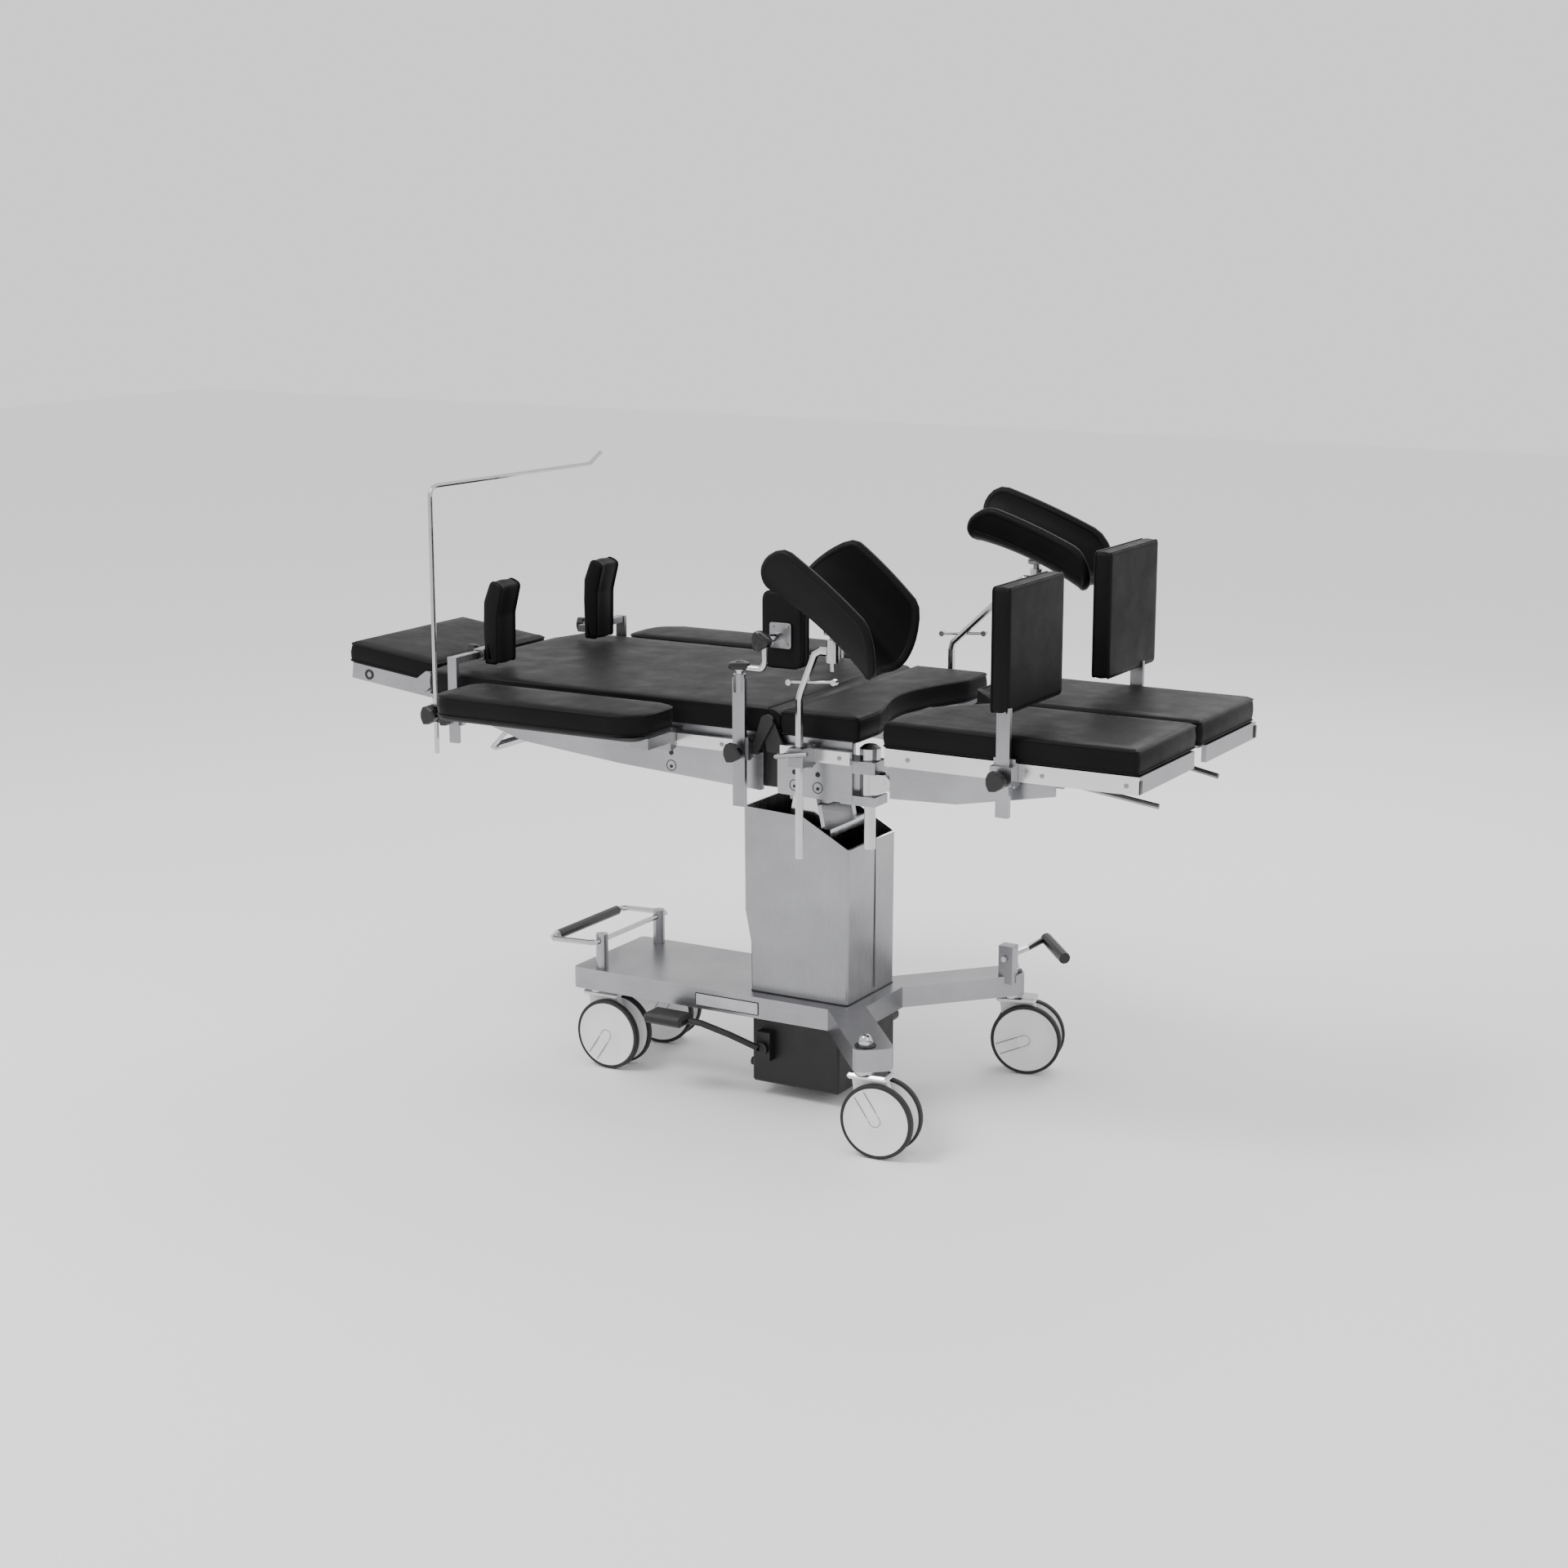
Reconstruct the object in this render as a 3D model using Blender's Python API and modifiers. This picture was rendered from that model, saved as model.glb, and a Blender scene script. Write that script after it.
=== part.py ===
"""Operating table with its side-rail accessories, piece by piece.

Metres, +Z up. +X points to the foot end and -Y is the side nearest the viewer.
Everything is laid out with the column's centre line at x = 0 and the floor at z = 0.
The last step moves the whole table along X, so that the frame's origin is on the
floor under the middle of the overall length.
"""
import math

import bmesh
import bpy
from mathutils import Matrix, Vector

# Clearances
GAP = 0.0003
RUN = 0.0010
FIT = 0.00006

# Table top
PAD_TOP = 0.851
PAD_T = 0.048
PAD_BOTTOM = PAD_TOP - PAD_T
PLATE_TOP = PAD_BOTTOM - GAP
PLATE_T = 0.005
SEAT_HALF = 0.285
SEAT_FOOT_X = 0.233
BACK_HEAD_X = -0.799
BACK_SHOULDER = (0.023, 0.085)
PAD_ROUND = 0.008
PERINEAL_DEPTH = 0.050
PERINEAL_HALF = 0.200

# Back hinge: the axis runs through the middle of the pads' thickness
SEAM_X = 0.040
BACK_AXIS_Z = PAD_TOP - PAD_T / 2
SEAM_HALF = PAD_T / 2 + GAP
SEAM_PIN_R = 0.0063
BAIL_AXIS = (-0.640, 0.762)
BAIL_PIN_R = 0.0050

# Side panels and rails
PANEL_Y = SEAT_HALF - 0.010
PANEL_T = 0.005
RAIL_H = 0.025
RAIL_T = 0.010
RAIL_Y = SEAT_HALF + 0.012
RAIL_TOP = 0.786

# Head section
HEAD_AXIS_X = -0.810
HEAD_LUG_Y = (0.2045, 0.2105)
BACK_LUG_Y = (0.2113, 0.2173)
HEAD_LENGTH = 0.230
HEAD_PIN_R = 0.0042
HEAD_HALF = 0.2025
HEAD_T = 0.043
HEAD_RAISE = math.radians(6.6)

# Leg sections
LEG_X0 = 0.290
LEG_X1 = 0.806
LEG_HALF = RAIL_Y - 0.0005
LEG_INNER = 0.010
LEG_CHAMFER = (0.092, 0.112)
LEG_RAIL_H = 0.034
LEG_PIVOT = (0.240, 0.247)
LEG_FOLD_X = 0.276
LEG_FOLD_Z = 0.726
LEG_STEM_R = 0.0110
LEG_PIN_R = 0.0060
LEG_LEVER_R = 0.0045

# Column and base
SHROUD_TOP_HEAD = 0.604
SHROUD_TOP_FOOT = 0.533
SHROUD_T = 0.0025
RAM_R = 0.0398
BASE_X0 = -0.528
BASE_X1 = 0.147
BASE_HALF = 0.1365
BASE_TOP = 0.2157
BASE_H = 0.0447
ARM_END = {"near": (0.277, -0.300), "far": (0.288, 0.296)}
ARM_HALF = 0.040
TILT_Z = 0.640

# Casters
WHEEL_R = 0.075
WHEEL_T = 0.024
WHEEL_GAP = 0.016
CASTER_TRAIL = 0.035
CASTER_FOOT = {"near": (0.264, -0.304), "far": (0.295, 0.296)}
CASTER_HEAD = (-0.485, 0.098)

# Brake, steering lever, pump pedal and their pins
BRAKE_POSTS = ((-0.470, -0.112), (-0.470, 0.112))
BRAKE_AXIS_Z = 0.276
LEVER_POST = (0.300, 0.262)
LEVER_AXIS_Z = 0.256
PEDAL_AXIS = (-0.060, 0.112)
LEVER_AXLE_R = 0.0059
PEDAL_PIN_R = 0.0060
STEM_R = 0.0110
PINION_R = 0.0110
WHEEL_HUB_R = 0.0062

# Accessories on the back and seat rails
ARM_BOARD_PIVOT_X = -0.190
ARM_BOARD_HEAD_X = {"near": -0.625, "far": -0.690}
SPINDLE_R = 0.0080
SCREEN_ROD_R = 0.0050
HOLDER_POST_R = 0.0078
STALK_R = 0.0065
KNOB_STUD_R = 0.0050
KNOB_POINTS = 9
SHOULDER_X = -0.690
SHOULDER_ARM_Z = 0.886

# Leg holders
HOLDER_X = 0.128
HOLDER_Y = RAIL_Y + 0.0265
HOLDER_KNEES = {"near": (0.200, 0.982), "far": (0.318, 1.045)}
TROUGH_PITCH = {"near": math.radians(35), "far": math.radians(19)}
TROUGH_ACROSS = 12
TROUGH_ALONG = 6
TROUGH_T = 0.018
TROUGH_HALF = 0.078

# Where the trough starts and ends along its length, and how high its lip is at each end
TROUGH_BOTTOM = (-0.110, 0.124, 0.0, 0.0)
OUTER_WING = {"near": (-0.200, 0.160, 0.092, 0.086), "far": (-0.240, 0.165, 0.076, 0.072)}
INNER_WING = {"near": (-0.148, 0.145, 0.123, 0.100), "far": (-0.165, 0.190, 0.075, 0.071)}

# Foot boards
FOOT_X = 0.552
FOOT_BOARD = (0.522, 0.560)
FOOT_BOARDS = {"near": ((0.078, 0.320), (0.896, 1.128)), "far": ((0.140, 0.382), (0.888, 1.138))}
SIDES = (("near", -1), ("far", 1))
SIDE_SUPPORT_X = {"near": -0.010, "far": -0.140}

KIT = {}
MATERIALS = {
    "stainless": ((0.62, 0.62, 0.64), 0.32, 1.0),
    "chrome": ((0.80, 0.80, 0.82), 0.14, 1.0),
    "steel": ((0.45, 0.46, 0.48), 0.40, 1.0),
    "upholstery": ((0.050, 0.050, 0.054), 0.48, 0.0),
    "black_plastic": ((0.020, 0.020, 0.022), 0.42, 0.0),
    "black_paint": ((0.015, 0.015, 0.016), 0.50, 0.0),
    "white_plastic": ((0.83, 0.83, 0.84), 0.35, 0.0),
}


# Scene, collections and materials
def clear_scene():
    for item in list(bpy.data.objects):
        bpy.data.objects.remove(item, do_unlink=True)


def new_collection(name):
    group = bpy.data.collections.new(name)
    bpy.context.scene.collection.children.link(group)
    return group


def material(key):
    colour, roughness, metallic = MATERIALS[key]
    shade = bpy.data.materials.new(key)
    shade.use_nodes = True
    surface = shade.node_tree.nodes["Principled BSDF"]
    surface.inputs["Base Color"].default_value = (*colour, 1.0)
    surface.inputs["Roughness"].default_value = roughness
    surface.inputs["Metallic"].default_value = metallic
    shade.diffuse_color = (*colour, 1.0)
    return shade


# Shape makers: each returns an object in the cutters collection
def as_object(mesh, name="shape"):
    shape = bpy.data.objects.new(name, mesh)
    KIT["cutters"].objects.link(shape)
    shape.hide_render = True
    shape.display_type = "WIRE"
    return shape


def from_bmesh(bm):
    mesh = bpy.data.meshes.new("shape")
    bmesh.ops.recalc_face_normals(bm, faces=bm.faces)
    bm.to_mesh(mesh)
    bm.free()
    return as_object(mesh)


def add_bevel(shape, width, segments=1):
    bevel = shape.modifiers.new("Bevel", "BEVEL")
    bevel.width = width
    bevel.segments = segments
    bevel.limit_method = "ANGLE"
    bevel.angle_limit = math.radians(40)
    return shape


def box(x, y, z, bevel=0.0):
    """Box from three (low, high) ranges."""
    bm = bmesh.new()
    bmesh.ops.create_cube(bm, size=1.0)
    size = Vector((x[1] - x[0], y[1] - y[0], z[1] - z[0]))
    middle = Vector((x[0] + x[1], y[0] + y[1], z[0] + z[1])) / 2
    bmesh.ops.scale(bm, vec=size, verts=bm.verts)
    bmesh.ops.translate(bm, vec=middle, verts=bm.verts)
    shape = from_bmesh(bm)
    if bevel:
        add_bevel(shape, bevel)
    return shape


def sides_for(radius):
    """Facets round a cylinder: few on a pin, more on a column."""
    for limit, sides in ((0.0075, 8), (0.0125, 10), (0.021, 14), (0.045, 20)):
        if radius <= limit:
            return sides
    return 24


def rod(start, end, radius, sides=None):
    """Cylinder between two points."""
    start = Vector(start)
    along = Vector(end) - start
    bm = bmesh.new()
    bmesh.ops.create_cone(
        bm,
        cap_ends=True,
        segments=sides or sides_for(radius),
        radius1=radius,
        radius2=radius,
        depth=along.length,
    )
    turn = Vector((0, 0, 1)).rotation_difference(along).to_matrix().to_4x4()
    bmesh.ops.transform(bm, matrix=Matrix.Translation(start + along / 2) @ turn, verts=bm.verts)
    return from_bmesh(bm)


def lo_hi(hand, inner, outer):
    """Range from inner to outer on one side of the middle, in rising order."""
    return tuple(sorted((hand * inner, hand * outer)))


def rod_y(x, y, z, radius, sides=None):
    return rod((x, y[0], z), (x, y[1], z), radius, sides=sides)


def rod_z(x, y, z, radius, sides=None):
    return rod((x, y, z[0]), (x, y, z[1]), radius, sides=sides)


def bore(start, end, shaft):
    """Cutter whose flats clear a turning shaft of the given radius."""
    sides = 2 * sides_for(shaft)
    return rod(start, end, (shaft + FIT) / math.cos(math.pi / sides), sides=sides)


def bore_y(x, y, z, shaft):
    return bore((x, y[0], z), (x, y[1], z), shaft)


def bore_z(x, y, z, shaft):
    return bore((x, y, z[0]), (x, y, z[1]), shaft)


PLANES = {
    "xy": Matrix.Identity(4),
    "xz": Matrix(((1, 0, 0, 0), (0, 0, -1, 0), (0, 1, 0, 0), (0, 0, 0, 1))),
    "yz": Matrix(((0, 0, 1, 0), (1, 0, 0, 0), (0, 1, 0, 0), (0, 0, 0, 1))),
}


def mesh_of(curve_object):
    """Welded mesh of a curve object, which is removed."""
    bpy.context.view_layer.update()
    seen = curve_object.evaluated_get(bpy.context.evaluated_depsgraph_get())
    mesh = bpy.data.meshes.new_from_object(seen)
    mesh.transform(curve_object.matrix_world)
    bpy.data.objects.remove(curve_object, do_unlink=True)
    bm = bmesh.new()
    bm.from_mesh(mesh)
    bmesh.ops.remove_doubles(bm, verts=bm.verts, dist=0.00002)
    bmesh.ops.recalc_face_normals(bm, faces=bm.faces)
    bm.to_mesh(mesh)
    bm.free()
    return as_object(mesh)


def slab(outline, low, high, plane="xy", bevel=0.0):
    """Flat outline given thickness from low to high across its plane."""
    curve = bpy.data.curves.new("outline", "CURVE")
    curve.dimensions = "2D"
    curve.fill_mode = "BOTH"
    curve.extrude = abs(high - low) / 2
    line = curve.splines.new("POLY")
    line.points.add(len(outline) - 1)
    for point, place in zip(line.points, outline):
        point.co = (place[0], place[1], 0, 1)
    line.use_cyclic_u = True
    flat = as_object(curve)
    across = (low + high) / 2
    if plane == "xz":
        across = -across
    flat.matrix_world = PLANES[plane] @ Matrix.Translation((0, 0, across))
    shape = mesh_of(flat)
    if bevel:
        add_bevel(shape, bevel)
    return shape


def tube(points, radius, resolution=2):
    """Round bar through a list of points."""
    curve = bpy.data.curves.new("path", "CURVE")
    curve.dimensions = "3D"
    curve.bevel_depth = radius
    curve.bevel_resolution = resolution
    curve.use_fill_caps = True
    line = curve.splines.new("POLY")
    line.points.add(len(points) - 1)
    for point, place in zip(line.points, points):
        point.co = (*place, 1)
    return mesh_of(as_object(curve))


def turned(profile, place, axis="Z", steps=12):
    """Profile of (radius, height) pairs, top to bottom, turned round an axis."""
    mesh = bpy.data.meshes.new("profile")
    mesh.from_pydata([(r, 0, h) for r, h in profile], [(i, i + 1) for i in range(len(profile) - 1)], [])
    shape = as_object(mesh)
    screw = shape.modifiers.new("Screw", "SCREW")
    screw.steps = steps
    screw.render_steps = steps
    screw.use_merge_vertices = True
    screw.merge_threshold = 0.00001
    turns = {"Z": (0, 0, 0), "Y": (-math.pi / 2, 0, 0), "X": (0, math.pi / 2, 0)}
    shape.rotation_euler = turns[axis]
    shape.location = place
    return shape


# Outlines
def round_corners(points, radii, steps=2):
    """Outline whose corners are arcs; a radius of 0 keeps a corner sharp."""
    outline = []
    count = len(points)
    for index, corner in enumerate(points):
        radius = radii[index] if isinstance(radii, (list, tuple)) else radii
        here = Vector(corner)
        if not radius:
            outline.append((here.x, here.y))
            continue
        before = (Vector(points[index - 1]) - here).normalized()
        after = (Vector(points[(index + 1) % count]) - here).normalized()
        half = before.angle(after) / 2
        reach = radius / math.tan(half)
        centre = here + (before + after).normalized() * radius / math.sin(half)
        start = here + before * reach - centre
        end = here + after * reach - centre
        sweep = start.angle_signed(end)
        for step in range(steps + 1):
            turn = Matrix.Rotation(-sweep * step / steps, 2)
            spot = centre + turn @ start
            outline.append((spot.x, spot.y))
    return outline


def rectangle(x, y):
    return [(x[0], y[0]), (x[1], y[0]), (x[1], y[1]), (x[0], y[1])]


def mirror_y(points):
    return [(x, -y) for x, y in reversed(points)]


def arc(centre, radius, first, last, steps):
    """Points on an arc, angles in degrees."""
    spots = []
    for step in range(steps + 1):
        angle = math.radians(first + (last - first) * step / steps)
        spots.append((centre[0] + radius * math.cos(angle), centre[1] + radius * math.sin(angle)))
    return spots


# Joining shapes into named pieces
def boolean(shape, other, operation):
    step = shape.modifiers.new(operation.title(), "BOOLEAN")
    step.operation = operation
    step.solver = "EXACT"
    step.object = other
    return shape


def joined(first, *others):
    for other in others:
        boolean(first, other, "UNION")
    return first


def piece(name, finish, shape, adds=(), cuts=(), pivot=(0, 0, 0), smooth=True):
    """Names a shape, gives it its finish and puts its origin on the pivot."""
    for other in adds:
        boolean(shape, other, "UNION")
    for other in cuts:
        boolean(shape, other, "DIFFERENCE")
    shape.name = name
    shape.data.name = name
    KIT["cutters"].objects.unlink(shape)
    KIT["parts"].objects.link(shape)
    shape.hide_render = False
    shape.display_type = "TEXTURED"
    shape.data.materials.clear()
    shape.data.materials.append(KIT[finish])
    if smooth:
        for face in shape.data.polygons:
            face.use_smooth = True
        shape.data.set_sharp_from_angle(angle=math.radians(35))
    turn = shape.matrix_basis.to_3x3().to_4x4()
    shift = shape.location - Vector(pivot)
    shape.data.transform(turn.inverted() @ Matrix.Translation(shift) @ turn)
    shape.location = pivot
    return shape


# Base and column
def arm_outline(side, inset):
    """Splayed arm of the base as a round-ended bar."""
    end = Vector(ARM_END[side])
    root = Vector((0.060, math.copysign(0.040, end.y)))
    along = (end - root).normalized()
    across = Vector((-along.y, along.x)) * (ARM_HALF - inset)
    tip = end + along * (ARM_HALF * 0.6 - inset)
    corners = [root - across, tip - across, tip + across, root + across]
    return round_corners([tuple(c) for c in corners], [0, 0.018, 0.018, 0])


def base_solid(inset, low, high):
    ends = (BASE_X0 + inset, BASE_X1 - inset)
    half = BASE_HALF - inset
    radii = [0.010, 0.030, 0.030, 0.010]
    body = slab(round_corners(rectangle(ends, (-half, half)), radii), low, high)
    return joined(body, slab(arm_outline("near", inset), low, high), slab(arm_outline("far", inset), low,
            high))


def caster_places():
    head_x, head_y = CASTER_HEAD
    return {
        "foot_near": (*CASTER_FOOT["near"], 5.0),
        "foot_far": (*CASTER_FOOT["far"], 15.0),
        "head_near": (head_x, -head_y, 0.0),
        "head_far": (head_x, head_y, 10.0),
    }


def build_base():
    under = BASE_TOP - BASE_H
    posts = [rod_z(x, y, (0.20, BRAKE_AXIS_Z + 0.014), 0.013) for x, y in BRAKE_POSTS]
    lever = box(
        (LEVER_POST[0] - 0.016, LEVER_POST[0] + 0.016),
        (LEVER_POST[1] - 0.014, LEVER_POST[1] + 0.014),
        (0.20, LEVER_AXIS_Z + 0.026),
    )
    bearings = [bore_y(BRAKE_POSTS[0][0], (-0.2, 0.2), BRAKE_AXIS_Z, LEVER_AXLE_R)]
    bearings.append(bore_y(LEVER_POST[0], (0.15, 0.35), LEVER_AXIS_Z, LEVER_AXLE_R))
    stems = [bore_z(x, y, (0.15, 0.2055), STEM_R) for x, y, _ in caster_places().values()]
    piece(
        "base_frame",
        "steel",
        base_solid(0.004, under + 0.002, BASE_TOP - 0.004),
        adds=posts + [lever],
        cuts=bearings + stems,
    )
    hollow = base_solid(0.0025, under - 0.01, BASE_TOP - 0.0025)
    holes = [rod_z(x, y, (0.20, 0.23), 0.0135) for x, y in BRAKE_POSTS]
    holes.append(
        box(
            (LEVER_POST[0] - 0.0165, LEVER_POST[0] + 0.0165),
            (LEVER_POST[1] - 0.0145, LEVER_POST[1] + 0.0145),
            (0.20, 0.23),
        )
    )
    holes.append(rod_z(0, 0, (0.20, 0.23), 0.062))
    piece("base_cover", "stainless", base_solid(0.0, under, BASE_TOP), cuts=[hollow] + holes)


def shroud_side(inset):
    """Side view of the column cover: kinked on the head side, cut aslant at the top."""
    return [
        (-0.112 + inset, BASE_TOP + GAP),
        (-0.113 + inset, 0.318),
        (-0.127 + inset, 0.385),
        (-0.129 + inset, SHROUD_TOP_HEAD),
        (0.008, SHROUD_TOP_HEAD - 0.007),
        (0.115 - inset, SHROUD_TOP_FOOT),
        (0.113 - inset, BASE_TOP + GAP),
    ]


def build_column():
    tall = shroud_side(0)
    tall[0] = (tall[0][0], 0.20)
    tall[-1] = (tall[-1][0], 0.20)
    foot = box((-0.2, 0.2), (-0.2, 0.2), (0.18, BASE_TOP + GAP))
    tall[3:6] = [(tall[3][0], 0.62), (tall[4][0], 0.62), (tall[5][0], 0.62)]
    outside = slab(tall, -0.100, 0.100, plane="xz", bevel=0.004)
    top_edge = shroud_side(-0.01)[3:6]
    mouth = slab([(-0.15, 0.7)] + [(-0.15, top_edge[0][1])] + top_edge + [(0.15, top_edge[2][1]),
            (0.15, 0.7)],
                 -0.12, 0.12, plane="xz")
    inner = [(x, z) for x, z in shroud_side(SHROUD_T)]
    inner[0] = (inner[0][0], 0.19)
    inner[-1] = (inner[-1][0], 0.19)
    inner[3] = (inner[3][0], 0.70)
    inner[4] = (0.008, 0.70)
    inner[5] = (inner[5][0], 0.70)
    half = 0.100 - SHROUD_T
    piece("column_shroud", "stainless", outside, cuts=[slab(inner, -half, half, plane="xz"), mouth, foot])
    cylinder = rod_z(0, 0, (BASE_TOP - 0.0037, 0.480), 0.058)
    flange = rod_z(0, 0, (BASE_TOP + GAP, 0.235), 0.085)
    hole = bore_z(0, 0, (0.225, 0.60), RAM_R)
    piece("lift_cylinder", "steel", cylinder, adds=[flange], cuts=[hole])
    body = box((-0.098, 0.104), (-0.118, 0.124), (0.030, BASE_TOP - BASE_H + 0.002 - GAP), bevel=0.004)
    peg = rod_y(0.070, (0.10, 0.185), 0.118, 0.014)
    light_peg = rod((-0.090, -0.080, 0.058), (-0.120, -0.080, 0.058), 0.009)
    saddle = box((PEDAL_AXIS[0] - 0.0155, PEDAL_AXIS[0] + 0.0155), (-0.14, -0.10), (0.085, 0.145))
    pin = rod_y(PEDAL_AXIS[0], (-0.150, -0.135), PEDAL_AXIS[1], PEDAL_PIN_R)
    piece("hydraulic_unit", "black_paint", body, adds=[peg, light_peg, saddle, pin])


def build_levers():
    (post_x, near_y), (_, far_y) = BRAKE_POSTS
    out = post_x - 0.112
    drop = BRAKE_AXIS_Z - 0.004
    path = [(out, 0.0, drop), (out, near_y - 0.020, drop), (out + 0.010, near_y - 0.030, drop)]
    path += [(post_x - 0.012, near_y - 0.030, BRAKE_AXIS_Z), (post_x, near_y - 0.022, BRAKE_AXIS_Z)]
    near = tube(path, 0.006)
    far = tube([(x, -y, z) for x, y, z in path], 0.006)
    axle = rod_y(post_x, (near_y - 0.026, far_y + 0.026), BRAKE_AXIS_Z, LEVER_AXLE_R)
    grip = rod_y(out, (near_y - 0.004, far_y + 0.004), drop, 0.0105)
    pivot = (post_x, 0, BRAKE_AXIS_Z)
    piece("brake_bar", "black_plastic", axle, adds=[near, far, grip], pivot=pivot)
    lx, ly = LEVER_POST
    hub = rod_y(lx, (ly - 0.024, ly + 0.030), LEVER_AXIS_Z, LEVER_AXLE_R)
    arm = tube([(lx, ly + 0.026, LEVER_AXIS_Z), (lx + 0.016, ly + 0.060, 0.262), (0.336, 0.366, 0.274)],
            0.0065)
    grip = rod((0.336, 0.372, 0.274), (0.416, 0.290, 0.262), 0.0125)
    piece("foot_lever", "black_plastic", hub, adds=[arm, grip], pivot=(lx, ly, LEVER_AXIS_Z))
    px, pz = PEDAL_AXIS
    hub = rod_y(px, (-0.1497, -0.1402), pz, 0.013)
    arm = tube([(px - 0.004, -0.1490, pz), (-0.120, -0.174, 0.140), (-0.180, -0.186, 0.158),
            (-0.290, -0.192, 0.164)], 0.007)
    pad = box((-0.300, -0.208), (-0.222, -0.166), (0.150, 0.172), bevel=0.006)
    hole = bore_y(px, (-0.2, -0.1), pz, PEDAL_PIN_R)
    piece("pump_pedal", "black_plastic", hub, adds=[arm, pad], cuts=[hole], pivot=(px, -0.145, pz))


def under_empty(name, place, turn, build):
    """Runs a build about the origin, then hangs all it made on a placed and turned empty."""
    before = set(bpy.data.objects)
    build()
    made = [item for item in bpy.data.objects if item not in before]
    anchor = bpy.data.objects.new(name, None)
    KIT["cutters"].objects.link(anchor)
    anchor.location = place
    anchor.rotation_euler = turn
    for item in made:
        item.parent = anchor


def build_caster(name):
    """Twin-wheel caster about its stem's axis, trailing along +X."""
    stem = rod_z(0, 0, (0.150, 0.2050), STEM_R)
    collar = rod_z(0, 0, (0.1575, 0.1705), 0.023)
    web_half = WHEEL_GAP / 2 - RUN
    side = [(-0.026, 0.158), (-0.018, 0.100), (CASTER_TRAIL - 0.014, 0.060)]
    side += [(CASTER_TRAIL + 0.014, 0.060), (CASTER_TRAIL + 0.030, 0.100), (CASTER_TRAIL + 0.010, 0.158)]
    web = slab(side, -web_half, web_half, plane="xz")
    cap = box((-0.030, CASTER_TRAIL + 0.018), (-0.024, 0.024), (0.1520, 0.1640), bevel=0.004)
    axle_hole = bore_y(CASTER_TRAIL, (-0.02, 0.02), WHEEL_R, WHEEL_HUB_R)
    piece(
        "caster_fork_" + name,
        "white_plastic",
        stem,
        adds=[collar, web, cap],
        cuts=[axle_hole],
        pivot=(0, 0, 0.160),
    )
    width = 2 * WHEEL_T + WHEEL_GAP
    middle = (CASTER_TRAIL, 0, WHEEL_R)
    hub = rod_y(CASTER_TRAIL, (0.004 - width / 2, width / 2 - 0.004), WHEEL_R, WHEEL_HUB_R)
    discs = []
    for hand in (-1, 1):
        inner = hand * WHEEL_GAP / 2
        outer = hand * width / 2
        profile = [(0, outer), (WHEEL_R - 0.004, outer), (WHEEL_R, outer - hand * 0.004)]
        profile += [(WHEEL_R, inner), (0, inner)]
        if hand < 0:
            profile.reverse()
        discs.append(turned(profile, middle, axis="Y", steps=24))
    piece("caster_wheels_" + name, "white_plastic", hub, adds=discs, pivot=middle)


def build_casters():
    for name, (x, y, swivel) in caster_places().items():
        turn = (0, 0, math.radians(swivel))
        under_empty("caster_swivel_" + name, (x, y, 0), turn, lambda: build_caster(name))


# Lift, tilt and seat
def build_lift():
    ram = rod_z(0, 0, (0.250, 0.562), RAM_R)
    plate = box((-0.062, 0.062), (-0.080, 0.080), (0.556, 0.572))
    lugs = []
    pins = []
    for hand in (-1, 1):
        low, high = sorted((hand * 0.0600, hand * 0.0740))
        lugs.append(slab(round_corners(
            [(-0.040, 0.565), (0.040, 0.565), (0.020, TILT_Z + 0.020), (-0.020, TILT_Z + 0.020)],
            [0, 0, 0.012, 0.012]), low, high, plane="xz"))
        pins.append(rod_y(0, lo_hi(hand, 0.045, 0.080), TILT_Z, PINION_R))
    piece("lift_column", "chrome", ram, adds=[plate] + lugs + pins)


def build_yoke():
    block = box((-0.046, 0.046), (-0.0585, 0.0585), (TILT_Z - 0.024, TILT_Z + 0.024), bevel=0.004)
    pin = rod((-0.076, 0, TILT_Z), (0.076, 0, TILT_Z), PINION_R)
    bores = [bore_y(0, (0.044, 0.070), TILT_Z, PINION_R), bore_y(0, (-0.070, -0.044), TILT_Z, PINION_R)]
    piece("tilt_yoke", "steel", block, adds=[pin], cuts=bores, pivot=(0, 0, TILT_Z))


def perineal_edge():
    """Foot edge of the seat pad from the near corner to the far one."""
    bow = []
    for step in range(13):
        t = step / 12
        y = -PERINEAL_HALF + 2 * PERINEAL_HALF * t
        bow.append((SEAT_FOOT_X - PERINEAL_DEPTH * math.sin(math.pi * t) ** 1.4, y))
    return bow


def rail(x, hand, low=RAIL_TOP - RAIL_H, high=RAIL_TOP):
    outer = hand * RAIL_Y
    y = tuple(sorted((outer, outer - hand * RAIL_T)))
    return box(x, y, (low, high))


def spacers(spots, hand):
    """Blocks that hold a rail off its side panel."""
    y = lo_hi(hand, (PANEL_Y - 0.002), (RAIL_Y - RAIL_T + 0.001))
    return [box((x - 0.012, x + 0.012), y, (RAIL_TOP - 0.021, RAIL_TOP - 0.004)) for x in spots]


def hinge_eye(x, z, radius, y, foot):
    """Round-ended hinge plate from an axis down to a foot range, across y."""
    outline = arc((x, z), radius, 0, 180, 6) + [(foot[0], foot[2]), (foot[1], foot[2])]
    return slab(outline, y[0], y[1], plane="xz")


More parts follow.
